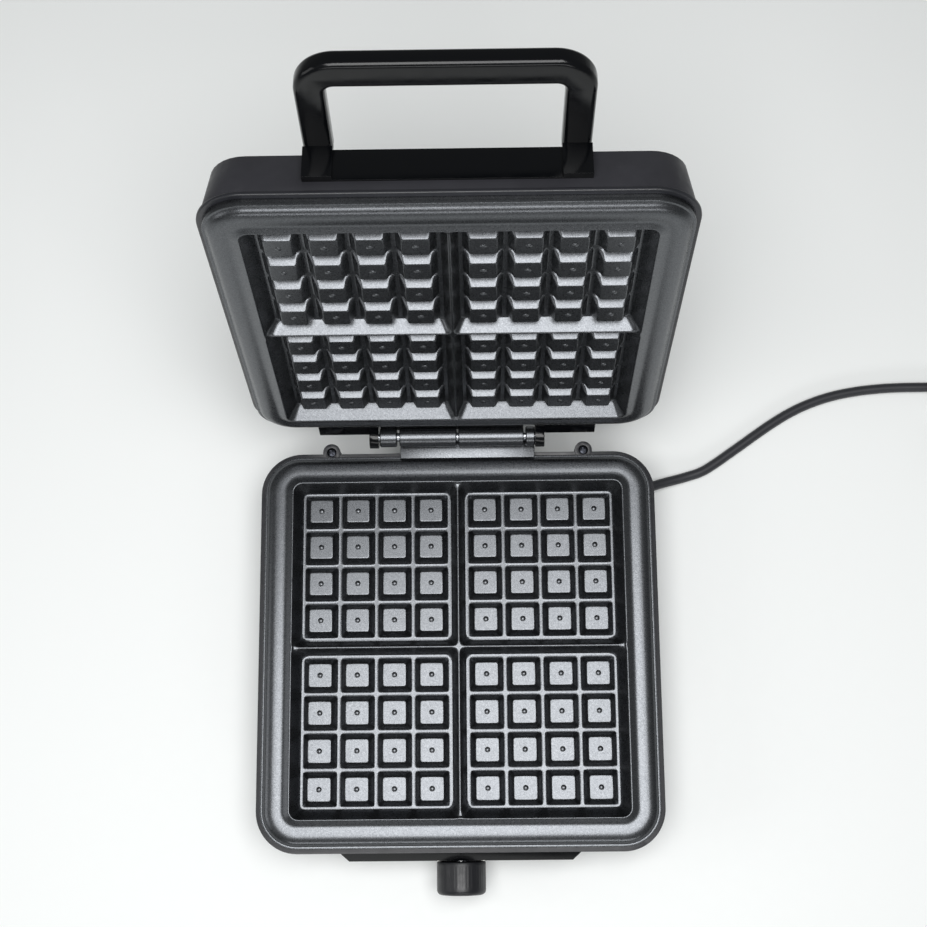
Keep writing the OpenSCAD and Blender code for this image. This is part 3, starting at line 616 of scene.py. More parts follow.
def softened(
    nodes: dict[str, bpy.types.Object],
    node: str,
    name: str,
    finish: Finish,
    edge: float,
    steps: int = 3,
    limit_deg: float = 40.0,
) -> bpy.types.Object:
    """Makes a copy of a CAD node with its triangles merged and its edges rounded, as a mould leaves them.

    Args:
        nodes: The frame's nodes.
        node: The node that is copied.
        name: The new piece's name.
        finish: Its finish.
        edge: The size of the rounding, in millimetres.
        steps: The number of faces across it.
        limit_deg: Edges flatter than this are left.

    Returns:
        The new piece.
    """
    mesh = nodes[node].data.copy()
    mesh.name = name
    mesh.materials.clear()
    mesh.materials.append(finish.material())
    shape = bmesh.new()
    shape.from_mesh(mesh)
    bmesh.ops.remove_doubles(shape, verts=shape.verts[:], dist=0.002 * MM)
    bmesh.ops.dissolve_limit(
        shape, angle_limit=math.radians(1.0), verts=shape.verts[:], edges=shape.edges[:]
    )
    shape.to_mesh(mesh)
    shape.free()
    for polygon in mesh.polygons:
        polygon.material_index = 0
    mesh.shade_smooth()
    piece = bpy.data.objects.new(name, mesh)
    bpy.context.scene.collection.objects.link(piece)
    bevel = piece.modifiers.new("rounded_edges", "BEVEL")
    bevel.width = edge * MM
    bevel.segments = steps
    bevel.limit_method = "ANGLE"
    bevel.angle_limit = math.radians(limit_deg)
    bevel.harden_normals = True
    return piece


# ---- Patterns that repeat ----


def scatter_tree() -> bpy.types.NodeTree:
    """Builds the geometry tree that puts one small part on every point of a mesh, facing its own way.

    Returns:
        The tree, with inputs Part, Finish, Turn and Seed.
    """
    known = bpy.data.node_groups.get("parts_on_points")
    if known:
        return known
    tree = bpy.data.node_groups.new("parts_on_points", "GeometryNodeTree")
    taken = {"Geometry": "Geometry", "Part": "Object", "Finish": "Material", "Turn": "Float", "Seed": "Int"}
    for label, kind in taken.items():
        tree.interface.new_socket(label, in_out="INPUT", socket_type="NodeSocket" + kind)
    tree.interface.new_socket("Geometry", in_out="OUTPUT", socket_type="NodeSocketGeometry")
    given = add_node(tree, "NodeGroupInput").outputs
    facing = add_node(tree, "GeometryNodeInputNamedAttribute", {"Name": "facing"}, data_type="FLOAT_VECTOR")
    upright = add_node(tree, "FunctionNodeAlignRotationToVector", {"Vector": facing.outputs[0]}, axis="Z")
    most, seed = 3, 8
    angle = add_node(
        tree, "FunctionNodeRandomValue", {most: given["Turn"], seed: given["Seed"]}, data_type="FLOAT"
    )
    spin = add_node(
        tree, "FunctionNodeAxisAngleToRotation", {"Axis": (0, 0, 1), "Angle": angle.outputs[1]}
    )
    turned = add_node(
        tree,
        "FunctionNodeRotateRotation",
        {"Rotation": upright.outputs[0], "Rotate By": spin.outputs[0]},
        rotation_space="LOCAL",
    )
    points = add_node(tree, "GeometryNodeMeshToPoints", {"Mesh": given["Geometry"]})
    part = add_node(tree, "GeometryNodeObjectInfo", {"Object": given["Part"]})
    placed = add_node(
        tree,
        "GeometryNodeInstanceOnPoints",
        {"Points": points.outputs[0], "Instance": part.outputs["Geometry"], "Rotation": turned.outputs[0]},
    )
    real = add_node(tree, "GeometryNodeRealizeInstances", {"Geometry": placed.outputs[0]})
    dressed = add_node(
        tree, "GeometryNodeSetMaterial", {"Geometry": real.outputs[0], "Material": given["Finish"]}
    )
    add_node(tree, "NodeGroupOutput", {"Geometry": dressed.outputs[0]})
    return tree


def scatter(
    name: str,
    part: bpy.types.Object,
    places: Sequence[tuple[Vector, Vector]],
    finish: Finish,
    turn: float = 0.0,
    seed: int = 3,
) -> bpy.types.Object:
    """Puts a copy of a part at every place, as one mesh, and removes the part itself.

    Args:
        name: The piece's name.
        part: The small part, drawn at the origin with +Z outward.
        places: Each copy's point, in millimetres, and the way it faces.
        finish: Its finish.
        turn: The most that a copy is turned about its own axis, in radians.
        seed: The seed of those turns.

    Returns:
        The finished piece.
    """
    mesh = bpy.data.meshes.new(name)
    mesh.from_pydata([point * MM for point, _ in places], [], [])
    facing = mesh.attributes.new("facing", "FLOAT_VECTOR", "POINT")
    facing.data.foreach_set("vector", [c for _, way in places for c in way.normalized()])
    carrier = bpy.data.objects.new(name + "_points", mesh)
    bpy.context.scene.collection.objects.link(carrier)
    modifier = carrier.modifiers.new("parts", "NODES")
    modifier.node_group = scatter_tree()
    values = {"Part": part, "Finish": finish.material(), "Turn": turn, "Seed": seed}
    for socket in modifier.node_group.interface.items_tree:
        if socket.in_out == "INPUT" and socket.name in values:
            modifier[socket.identifier] = values[socket.name]
    evaluated = carrier.evaluated_get(bpy.context.evaluated_depsgraph_get())
    result = bpy.data.meshes.new_from_object(evaluated)
    result.name = name
    result.shade_smooth()
    result.set_sharp_from_angle(angle=math.radians(38))
    piece = bpy.data.objects.new(name, result)
    bpy.context.scene.collection.objects.link(piece)
    bpy.data.objects.remove(carrier)
    bpy.data.objects.remove(part)
    return piece


def cross_screw(diameter: float, length: float, head_d: float, head: float) -> bpy.types.Object:
    """Draws a pan-head screw with a cross recess, its head's face at z = head and its shank below z = 0.

    Args:
        diameter: The thread's outer diameter.
        length: The shank's length.
        head_d: The head's diameter.
        head: The head's height.

    Returns:
        The screw, to be scattered.
    """
    sketch = Sketch()
    r, rim = diameter / 2, head_d / 2
    pitch, tip, thread_from = 1.2, 0.2, 0.9
    root, side, edge = r * 0.8, head * 0.45, 0.15
    profile = [(0.01, -length), (r * 0.45, tip - length)]
    for i in range(int((length - 1.5) / pitch)):
        z = thread_from - length + i * pitch
        profile += [(root, z), (r, z + pitch * 0.35), (root, z + pitch * 0.7)]
    profile += [(r * 0.85, 0), (rim - edge, 0), (rim, edge), (rim, side)]
    profile += [(rim * math.cos(a) ** 0.6, side + (head - side) * math.sin(a)) for a in (0.5, 0.9, 1.2)]
    arm, width, depth, taper = rim * 0.6, rim * 0.17, head * 0.55, 0.86
    cross = []
    for quarter in range(4):
        turn = Matrix.Rotation(quarter * math.pi / 2, 3, "Z")
        cross += [turn @ Vector((x, y, 0)) for x, y in ((arm, -width), (arm, width), (width, width))]
    angles = [math.atan2(p.y, p.x) for p in cross]
    loops = [[Vector((pr * math.cos(a), pr * math.sin(a), pz)) for a in angles] for pr, pz in profile]
    loops.append([p + Vector((0, 0, head)) for p in cross])
    loops.append([p * taper + Vector((0, 0, head - depth)) for p in cross])
    sketch.loft(loops)
    return sketch.build("screw_pattern", PLATED_STEEL)


# ---- The sub-assemblies ----


@dataclass
class Viewpoint:
    """The camera, a plain table and soft studio light."""

    place: tuple[float, float, float] = (0.01444, -0.13684, 1.06292)
    towards: tuple[float, float, float] = (-0.00996, 0.20691, -0.97831)
    up: tuple[float, float, float] = (0.01134, 0.97832, 0.20680)
    lens_mm: float = 57.5
    sensor_mm: float = 36.0

    def set_camera(self) -> None:
        """Puts the camera where the appliance is seen from above its front edge."""
        back = -Vector(self.towards).normalized()
        right = Vector(self.up).cross(back).normalized()
        up = back.cross(right)
        data = bpy.data.cameras.new("camera")
        data.lens = self.lens_mm
        data.sensor_width = self.sensor_mm
        data.clip_start = 0.01
        camera = bpy.data.objects.new("camera", data)
        turn = Matrix((right, up, back)).transposed().to_4x4()
        camera.matrix_world = Matrix.Translation(self.place) @ turn
        bpy.context.scene.collection.objects.link(camera)
        bpy.context.scene.camera = camera

    def set_table(self) -> None:
        """Lays the plain pale table."""
        table = Finish("pale_table", "#f3f5f4", roughness=0.65)
        mesh = bpy.data.meshes.new("table")
        far = 4.0
        ends = [(-far, -far, 0), (far, -far, 0), (far, far, 0), (-far, far, 0)]
        mesh.from_pydata(ends, [], [(0, 1, 2, 3)])
        mesh.materials.append(table.material())
        floor = bpy.data.objects.new("table", mesh)
        bpy.context.scene.collection.objects.link(floor)

    def set_lights(self) -> None:
        """Hangs a wide soft light over the front half, with weaker ones at the sides."""
        world = bpy.data.worlds.new("studio")
        world.use_nodes = True
        world.node_tree.nodes["Background"].inputs["Color"].default_value = srgb("#eef1f2")
        world.node_tree.nodes["Background"].inputs["Strength"].default_value = 0.2
        bpy.context.scene.world = world
        bpy.context.scene.view_settings.view_transform = "Standard"
        self.softbox("overhead", (0.02, -0.17, 1.4), (0.0, -0.1, 0.0), (0.95, 0.75), 17.0)
        self.softbox("left_fill", (-1.5, -0.3, 0.9), (0.0, 0.0, 0.1), (0.9, 0.9), 4.0)
        self.softbox("front_strip", (0.1, -1.5, 0.75), (0.0, 0.1, 0.25), (1.4, 0.35), 5.0)

    def softbox(
        self,
        name: str,
        place: Sequence[float],
        target: Sequence[float],
        size: tuple[float, float],
        power: float,
    ) -> None:
        """Adds one rectangular light.

        Args:
            name: The light's name.
            place: Where it hangs, in metres.
            target: Where it points.
            size: Its width and depth.
            power: Its power in watts.
        """
        data = bpy.data.lights.new(name, "AREA")
        data.shape = "RECTANGLE"
        data.size, data.size_y = size
        data.energy = power
        light = bpy.data.objects.new(name, data)
        aim = (Vector(target) - Vector(place)).to_track_quat("-Z", "Y")
        light.matrix_world = Matrix.Translation(place) @ aim.to_matrix().to_4x4()
        bpy.context.scene.collection.objects.link(light)


@dataclass
class MainsCord:
    """The lead: a tapered relief, a loose run over the table, a tied coil of spare cord, and the plug.

    Its route repeats the model's own points, in millimetres in the scene's frame.
    """

    diameter: float = 7.0
    pitch: float = 7.2
    route: tuple[tuple[float, float, float], ...] = (
        (120.5, 63.5, 11.5), (128, 63.7, 11.3), (135, 65.4, 10.1), (142, 68.2, 8.3), (150, 70.8, 6.3),
        (158, 73, 4.8), (167, 75.6, 3.8), (177, 79, 3.6), (186, 84.2, 3.6), (196, 91, 3.6),
        (207, 98.6, 3.6), (219, 107, 3.6), (231, 115, 3.6), (244, 122.6, 3.6), (258, 129, 3.6),
        (273, 134, 3.6), (289, 137.4, 3.6), (305, 139.4, 3.7), (322, 140.4, 3.9), (340, 140.5, 4.2),
        (358, 140.5, 4.3), (374, 140.5, 4.3),
    )
    coil_centre: tuple[float, float] = (390.0, 98.4)
    coil_radius: float = 42.1
    coil_turns: float = 2.25
    low_z: float = 4.3
    climb_from: float = 1.3
    points_per_turn: int = 20
    tail: float = 34.0
    tail_z: float = 9.5
    tie_at: float = 0.8333
    tie_width: float = 9.0
    tie_thickness: float = 0.6
    tie_radius: float = 3.55
    relief_start: float = 88.5
    relief_end: float = 120.5
    relief_wall: float = 2.5
    plug_relief: float = 24.0
    plug_size: tuple[float, float, float] = (25.0, 17.0, 27.0)

    def coil_section(self, turn: float) -> tuple[float, float]:
        """Where the cord is after some turns of the coil.

        Args:
            turn: Turns since the cord joined the coil.

        Returns:
            Its distance from the coil's middle and its height.
        """
        if turn >= 2:
            return self.coil_radius - self.pitch * (turn - 1.5), self.low_z + self.pitch * math.sqrt(0.75)
        if turn <= self.climb_from:
            return self.coil_radius - self.pitch * turn, self.low_z
        share = (turn - self.climb_from) / (2 - self.climb_from)
        around = math.radians(180 - 120 * share * share * (3 - 2 * share))
        below = self.coil_radius - self.pitch * (turn - 1)
        return below + self.pitch * math.cos(around), self.low_z + self.pitch * math.sin(around)

    def coil_point(self, turn: float) -> tuple[float, float, float]:
        """The cord's middle after some turns, which run clockwise from the coil's far side."""
        radius, height = self.coil_section(turn)
        angle = math.pi / 2 - 2 * math.pi * turn
        x, y = self.coil_centre
        return x + radius * math.cos(angle), y + radius * math.sin(angle), height

    def centreline(self) -> list[tuple[float, float, float]]:
        """All the cord's points, from the relief to the plug."""
        count = round(self.coil_turns * self.points_per_turn)
        coil = [self.coil_point(self.coil_turns * i / count) for i in range(count + 1)]
        x, y, z = coil[-1]
        tail = [(x, y - self.tail * s, z + (self.tail_z - z) * s) for s in (0.5, 1.0)]
        return list(self.route) + coil + tail

    def make_cord(self) -> bpy.types.Object:
        """Draws the lead as one smooth round curve."""
        points = [Vector(p) * MM for p in self.centreline()]
        data = bpy.data.curves.new("mains_lead", "CURVE")
        data.dimensions = "3D"
        data.resolution_u = 6
        data.bevel_depth = self.diameter / 2 * MM
        data.bevel_resolution = 5
        data.use_fill_caps = True
        spline = data.splines.new("BEZIER")
        spline.bezier_points.add(len(points) - 1)
        for knot, point in zip(spline.bezier_points, points):
            knot.co = point
            knot.handle_left_type = knot.handle_right_type = "AUTO"
        data.materials.append(CORD_VINYL.material())
        lead = bpy.data.objects.new("mains_lead", data)
        bpy.context.scene.collection.objects.link(lead)
        return put(lead, Body.BASE, ["power_cord", "cord_coil"])

    def length(self, lead: bpy.types.Object) -> float:
        """The lead's length along its own curve, in metres."""
        return lead.data.splines[0].calc_length()

    def make_relief(self) -> bpy.types.Object:
        """Turns the outlet's relief: a flange, a neck in the wall and ribs that let it bend."""
        sketch = Sketch()
        span = self.relief_end - self.relief_start
        profile = [(4.0, -self.relief_wall - 1.4), (6.3, -self.relief_wall - 1.4), (6.3, -self.relief_wall)]
        profile += [(4.45, -self.relief_wall), (4.45, 0)]
        ribs = 7
        for i in range(ribs):
            z0, z1 = span * i / ribs, span * (i + 1) / ribs
            r0, r1 = 5.7 - 1.4 * i / ribs, 5.7 - 1.4 * (i + 1) / ribs
            profile += [(r0, z0 + 0.3), (r1 + 0.1, z1 - 1.3), (r1 - 0.5, z1 - 1.0), (r1 - 0.5, z1 - 0.3)]
        profile += [(4.2, span), (3.6, span)]
        place = Matrix.Translation((self.relief_start, self.route[0][1], self.route[0][2]))
        sketch.lathe(profile, 32, place @ Matrix.Rotation(math.pi / 2, 4, "Y"))
        self.flatten_flange(sketch, self.route[0][2] - 2.3)
        piece = sketch.build("outlet_relief", CORD_VINYL)
        return put(piece, Body.BASE, ["cord_strain_relief"])

    def flatten_flange(self, sketch: Sketch, floor: float) -> None:
        """Cuts the flange level where it stands on the bottom cover."""
        for point in sketch.points:
            if point.x < self.relief_start - self.relief_wall + 0.01:
                point.z = max(point.z, floor)

    def make_tie(self) -> bpy.types.Object:
        """Wraps the coil's tie round the turns that it holds."""
        lower = self.coil_section(self.tie_at)
        upper = self.coil_section(self.tie_at + 1)
        along = Vector((upper[0] - lower[0], upper[1] - lower[1])).normalized()
        lean = math.atan2(along.y, along.x)
        x, y = self.coil_centre
        turn = math.pi / 2 - 2 * math.pi * self.tie_at
        place = Matrix.Translation((x, y, 0)) @ Matrix.Rotation(turn, 4, "Z")
        sketch = Sketch()
        steps = 10
        rings = []
        inner = self.tie_radius
        outer = inner + self.tie_thickness
        for radius, side in ((inner, -1), (outer, -1), (outer, 1), (inner, 1)):
            ring = []
            for centre, start in ((lower, lean + math.pi / 2), (upper, lean - math.pi / 2)):
                for k in range(steps + 1):
                    a = start + math.pi * k / steps
                    ring.append(
                        place
                        @ Vector(
                            (
                                centre[0] + radius * math.cos(a),
                                side * self.tie_width / 2,
                                centre[1] + radius * math.sin(a),
                            )
                        )
                    )
            rings.append(ring)
        rings.append(rings[0])
        sketch.loft(rings, closed_ends=False)
        piece = sketch.build("coil_tie", TIE_PLASTIC)
        return put(piece, Body.BASE, ["cord_tie"])

    def make_plug(self) -> bpy.types.Object:
        """Lofts the moulded plug: a ribbed relief that swells into a grip with a flat face."""
        x, y, z = self.coil_point(self.coil_turns)
        place = Matrix.Translation((x, y - self.tail, self.tail_z)) @ Matrix.Rotation(math.pi / 2, 4, "X")
        sketch = Sketch()
        span = self.plug_relief
        profile = [(3.6, -0.0), (4.25, 0.4)]
        ribs = 5
        for i in range(ribs):
            z0, z1 = span * i / ribs + 0.8, span * (i + 1) / ribs
            r0, r1 = 4.3 + 1.4 * i / ribs, 4.3 + 1.4 * (i + 1) / ribs
            profile += [(r0, z0), (r1, z1 - 1.2), (r0 - 0.5, z1 - 0.9), (r0 - 0.5, z1 - 0.2)]
        profile += [(5.7, span), (5.7, span + 1)]
        sketch.lathe(profile, 28, place)
        width, thickness, length = self.plug_size
        steps = 6
        loops = []
        for share, scale in (
            (0.0, 0.42), (0.02, 0.5), (0.1, 0.64), (0.22, 0.8), (0.36, 0.92), (0.5, 0.97), (0.6, 0.95),
            (0.7, 0.95), (0.8, 0.98), (0.9, 1.0), (0.97, 1.0), (1.0, 0.96),
        ):
            half_x, half_y = width / 2 * scale, thickness / 2 * (0.25 + 0.75 * scale)
            r = min(half_x, half_y) * 0.62
            loop = []
            for cx, cy, start in ((1, 1, 0), (-1, 1, 1), (-1, -1, 2), (1, -1, 3)):
                for k in range(steps + 1):
                    a = math.pi / 2 * (start + k / steps)
                    loop.append(
                        place
                        @ Vector(
                            (
                                cx * (half_x - r) + r * math.cos(a),
                                cy * (half_y - r) + r * math.sin(a),
                                span + length * share,
                            )
                        )
                    )
            loops.append(loop)
        sketch.loft(loops)
        piece = sketch.build("mains_plug", CORD_VINYL)
        return put(piece, Body.BASE, ["plug_body"])

    def build(self, nodes: dict[str, bpy.types.Object]) -> None:
        lead = self.make_cord()
        relief = self.make_relief()
        tie = self.make_tie()
        plug = self.make_plug()
        blades = softened(nodes, "plug_blades", "mains_blades", NICKEL_BRASS, edge=0.35, steps=2)
        put(blades, Body.BASE, ["plug_blades"])
        round(self.length(lead), 4)
        log.info("mains lead, %.3f m long, with relief, tie and plug", self.length(lead))


@dataclass
class WafflePlate:
    """A cast plate: four square wells of bosses inside a raised rim and a flat band, and a hinge.

    Heights are measured from the tops of the pips, which lie at pip_z in the lower half.
    """

    name: str
    node: str
    body: Body
    upper: bool
    pip_z: float = 62.0
    pitch: float = 25.0
    first: float = 18.43
    rows: int = 4
    boss_top: float = 7.7
    boss_corner: float = 1.3
    boss_lean: float = 2.0
    pip: float = 0.7
    pip_base: float = 1.9
    floor: float = -7.7
    ridge_half: float = 4.75
    ridge_slope: float = 0.477
    ridge_height: float = 1.0
    core: float = 105.2
    well_half: float = 106.53
    wall_slope: float = 0.598
    rim_at: float = 6.83
    band_at: float = 17.8
    corner_radii: tuple[tuple[float, float], ...] = (
        (0, 0), (1.33, 3.0), (6.83, 5.6), (17.8, 15), (27.6, 24.8),
    )
    border_profile: tuple[tuple[float, float], ...] = (
        (6.4, 3.0), (7.4, 2.8), (8.0, 2.6), (12.0, 1.15), (13.5, 0.95), (17.0, 1.1), (20.0, 0.95),
        (22.5, 0.3), (24.0, -0.5), (25.1, -1.6), (25.8, -2.7), (27.6, -2.7),
    )
    border_loops: tuple[float, ...] = (
        0, 0.45, 0.9, 1.33, 1.8, 2.4, 3.6, 5.0, 6.0, 6.5, 6.9, 7.2, 7.45, 7.7, 8.0, 8.6, 10.0, 11.3,
        12.0, 12.8, 13.6, 14.6, 16.0, 17.5, 19.0, 20.2, 21.3, 22.3, 23.2, 24.0, 24.6, 25.1, 25.5, 25.8,
    )
    underside: tuple[tuple[float, float], ...] = (
        (26.1, -2.7), (27.25, -2.7), (27.5, -2.8), (27.6, -3.05), (27.6, -6.95), (27.5, -7.2),
        (27.25, -7.3), (26.0, -7.3), (25.8, -7.0), (25.8, -5.2), (22.0, -3.4), (11.0, -2.6), (7.4, -9.7),
        (7.0, -10.1), (0.0, -10.1),
    )
    stud_end: float = -16.8
    stud_d: float = 10.0
    corner_steps: int = 10
    hinge_y: float = 143.6
    hinge_z: float = 67.5
    barrel_d: float = 13.4
    bore_d: float = 6.1
    knuckles: tuple[tuple[float, float], ...] = ((-39.5, -0.3), (47.2, 53.5))

    def place(self) -> Matrix:
        """Where the plate's own shape goes."""
        lift = Matrix.Translation((0, 0, self.pip_z))
        return (PLACE.lid_mirror() if self.upper else PLACE.base()) @ lift

    def frame_place(self) -> Matrix:
        """Where shapes drawn in the shut appliance go."""
        return PLACE.lid() if self.upper else PLACE.base()

    def centres(self) -> list[float]:
        """The middles of the rows of bosses, on both sides of the ridge."""
        one_side = [self.first + i * self.pitch for i in range(self.rows)]
        return [-c for c in reversed(one_side)] + one_side

    def lines(self) -> np.ndarray:
        """The grid lines across the wells, closest where the shape turns."""
        ridge = [0.3, 0.6, 0.85, 1.2, 1.9, 2.8, 3.8, 4.5, 4.85, 5.3, 6.0]
        offsets = [6.4, 7.1, 7.5, 7.65, 7.8, 8.0, 9.8, 10.9, 11.15, 11.5]
        half = set(ridge)
        for i in range(self.rows):
            middle = self.first + i * self.pitch
            half.add(middle)
            half.update(middle + side * o for o in offsets for side in (-1, 1))
        kept = sorted(v for v in half if v < self.core - 0.05) + [self.core]
        return np.array([-v for v in reversed(kept)] + [0.0] + kept)

    def border(self, out: np.ndarray) -> np.ndarray:
        """The border's height outward from the core: a rim, a slope, a flat band and a rounded edge."""
        places, heights = zip(*self.border_profile)
        spread = [np.interp(out + step, places, heights) for step in (-0.6, -0.3, 0, 0.3, 0.6)]
        low = self.ridge_height + 2 * np.clip((out - self.rim_at + 1) / 1.6, 0, 1)
        return np.where(out < self.rim_at + 0.6, low, sum(spread) / len(spread))

    def height(self, x: np.ndarray, y: np.ndarray, out: np.ndarray) -> np.ndarray:
        """The casting's upper surface.

        Args:
            x: Places along X.
            y: Places along Y.
            out: How far outside the core each place lies, negative inside it.

        Returns:
            The heights.
        """
        flank_x = self.floor + (self.ridge_half - np.abs(x)) / self.ridge_slope
        flank_y = self.floor + (self.ridge_half - np.abs(y)) / self.ridge_slope
        ridges = round_max(flank_x, flank_y, 8.5)
        wall = self.floor + (out - (self.well_half - self.core)) / self.wall_slope
        sides = soft_max(round_max(ridges, wall, 8.0), np.full_like(x, self.floor), 0.5)
        solid = soft_min(sides, self.border(out), 0.9)
        near_x = np.abs(np.abs(x) - self.first)
        near_y = np.abs(np.abs(y) - self.first)
        for i in range(1, self.rows):
            near_x = np.minimum(near_x, np.abs(np.abs(x) - self.first - i * self.pitch))
            near_y = np.minimum(near_y, np.abs(np.abs(y) - self.first - i * self.pitch))
        square = round_max(near_x, near_y, self.boss_corner)
        side = -self.pip - self.boss_lean * (square - self.boss_top)
        boss = soft_min(side, np.full_like(x, -self.pip), 0.3)
        return np.maximum(solid, soft_max(boss, np.full_like(x, self.floor), 0.4))

    def ring(self, out: float, lines: np.ndarray) -> np.ndarray:
        """One loop round the core, with rounded corners.

        Args:
            out: How far outside the core it runs.
            lines: The core's grid lines, which the loop's straight sides keep.

        Returns:
            Its plan points, once round from the lower right corner.
        """
        half_x = self.core + out
        half_y = half_x - np.interp(out, [self.rim_at, self.band_at], [0, 1])
        places, radii = zip(*self.corner_radii)
        r = float(np.interp(out, places, radii))
        cx, cy = half_x - r, half_y - r
        across, up = lines * cx / self.core, lines * cy / self.core
        turn = [math.pi / 2 * k / (self.corner_steps + 1) for k in range(1, self.corner_steps + 1)]
        points = [(half_x, v) for v in up]
        points += [(cx + r * math.cos(a), cy + r * math.sin(a)) for a in turn]
        points += [(v, half_y) for v in across[::-1]]
        points += [(-cx - r * math.sin(a), cy + r * math.cos(a)) for a in turn]
        points += [(-half_x, v) for v in up[::-1]]
        points += [(-cx - r * math.cos(a), -cy - r * math.sin(a)) for a in turn]
        points += [(v, -half_y) for v in across]
        points += [(cx + r * math.sin(a), -cy - r * math.cos(a)) for a in turn]
        return np.array(points)

    def draw_casting(self, sketch: Sketch) -> None:
        """Draws the wells as one grid, the border as loops round it, and the underside."""
        lines = self.lines()
        count = len(lines)
        x, y = np.meshgrid(lines, lines, indexing="ij")
        z = self.height(x, y, np.maximum(np.abs(x), np.abs(y)) - self.core)
        grid = np.stack([x, y, z], axis=-1).reshape(-1, 3)
        faces = [
            (i * count + j, (i + 1) * count + j, (i + 1) * count + j + 1, i * count + j + 1)
            for i in range(count - 1)
            for j in range(count - 1)
        ]
        sketch.add(grid.tolist(), faces)
        loops = []
        for out in self.border_loops:
            plan = self.ring(out, lines)
            rise = self.height(plan[:, 0], plan[:, 1], np.full(len(plan), float(out)))
            loops.append(np.column_stack([plan, rise]).tolist())
        for out, rise in self.underside:
            plan = self.ring(out, lines)
            loops.append(np.column_stack([plan, np.full(len(plan), rise)]).tolist())
        sketch.loft(loops, closed_ends=False)
        size = len(loops[-1])
        sketch.add(loops[-1], [list(range(size))])

    def draw_studs(self, sketch: Sketch) -> None:
        """Draws the studs under the casting that carry the heat shield."""
        last = self.first + (self.rows - 1) * self.pitch
        r, end, top = self.stud_d / 2, self.stud_end, self.underside[-1][1] + 0.1
        profile = [(r - 3, end), (r - 0.3, end), (r, end + 0.3), (r, top), (r - 3, top)]
        for sx in (-1, 1):
            for sy in (-1, 1):
                sketch.lathe(profile, 20, Matrix.Translation((sx * last, sy * last, 0)))

    def draw_hinge(self, sketch: Sketch) -> None:
        """Draws the knuckles and the leaf that ties them to the casting, in the shut frame."""
        r = self.barrel_d / 2
        chamfer = 0.7
        for x0, x1 in self.knuckles:
            barrel = [
                (self.bore_d / 2, x0), (r - chamfer, x0), (r, x0 + chamfer), (r, x1 - chamfer),
                (r - chamfer, x1), (self.bore_d / 2, x1),
            ]
            axis = Matrix.Translation((0, self.hinge_y, self.hinge_z))
            sketch.lathe(barrel, 40, axis @ Matrix.Rotation(math.pi / 2, 4, "Y"))
        if self.upper:
            for x0, x1 in self.knuckles:
                sketch.block((x0 + 0.3, self.hinge_y - 4, 70.6), (x1 - 0.3, self.hinge_y + 3.4, 76.0), 0.6)
            outline = [
                (130.2, 71.3), (135.2, 71.3), (135.2, 74.6), (147.0, 74.6), (147.0, 77.5), (135.2, 77.5),
                (135.2, 75.3), (130.2, 75.3),
            ]
            sketch.bar(outline, self.knuckles[0][0], self.knuckles[1][1], 0.5)
        else:
            for x0, x1 in self.knuckles:
                sketch.block((x0 + 0.3, self.hinge_y - 4, 59.0), (x1 - 0.3, self.hinge_y + 3.4, 64.4), 0.6)
            sketch.block((self.knuckles[0][0], 130.2, 57.3), (self.knuckles[1][1], 147.0, 60.3), 0.5)

    def pip_places(self) -> list[tuple[Vector, Vector]]:
        """The places of the pips on the bosses and the way they face."""
        place = self.place()
        out = (place.to_3x3() @ Vector((0, 0, 1))).normalized()
        return [
            (place @ Vector((cx, cy, -self.pip)), out) for cx in self.centres() for cy in self.centres()
        ]

    def build(self) -> None:
        """Makes the casting with its hinge, and the pips on its bosses."""
        sketch = Sketch()
        self.draw_casting(sketch)
        self.draw_studs(sketch)
        sketch.points = [self.place() @ p for p in sketch.points]
        hinge = Sketch()
        self.draw_hinge(hinge)
        sketch.add([self.frame_place() @ p for p in hinge.points], hinge.faces)
        piece = sketch.build(self.name, NON_STICK)
        put(piece, self.body, [self.node])
        self.build_pips()
        log.info("%s: %d faces and %d pips", self.name, len(piece.data.polygons), len(self.pip_places()))

    def build_pips(self) -> None:
        """Makes the pips, each a shallow dome whose top alone catches the light."""
        dome = Sketch()
        ball = (self.pip_base**2 + self.pip**2) / (2 * self.pip)
        tilt = math.asin(self.pip_base / ball)
        arc = [tilt * share for share in (1, 0.84, 0.67, 0.5, 0.33, 0.17, 0.03)]
        profile = [(ball * math.sin(a), ball * math.cos(a) - ball + self.pip) for a in arc]
        dome.lathe([(self.pip_base, -0.3)] + profile, 24)
        part = dome.build("pip_pattern", NON_STICK, sharp_deg=75)
        piece = scatter(self.name + "_pips", part, self.pip_places(), NON_STICK)
        put(piece, self.body)


@dataclass
class Base:
    """The lower shell with its rim, control panel, feet and bottom cover."""

    edge: float = 0.9

    def build(self, nodes: dict[str, bpy.types.Object]) -> None:
        """Makes every outer piece of the base."""
        shell = softened(nodes, "lower_housing", "base_shell", SHELL_PLASTIC, edge=0.6)
        put(shell, Body.BASE, ["lower_housing"])
        rim = softened(nodes, "lower_bezel", "base_rim", RIM_PLASTIC, edge=0.7)
        put(rim, Body.BASE, ["lower_bezel"])
        panel = softened(nodes, "control_panel", "front_panel", GLOSS_BLACK, edge=self.edge)
        put(panel, Body.BASE, ["control_panel"])
        cover = softened(nodes, "bottom_cover", "underside_cover", SHELL_PLASTIC, edge=0.4, steps=2)
        put(cover, Body.BASE, ["bottom_cover"])
        feet = softened(nodes, "rubber_feet", "soft_feet", FOOT_RUBBER, edge=0.5, steps=2)
        put(feet, Body.BASE, ["rubber_feet"])
        lenses = softened(nodes, "indicator_lenses", "indicator_caps", RED_LENS, edge=0.25, steps=3)
        put(lenses, Body.BASE, ["indicator_lenses"])
        log.info("base: shell, rim, panel, cover, feet and lenses")


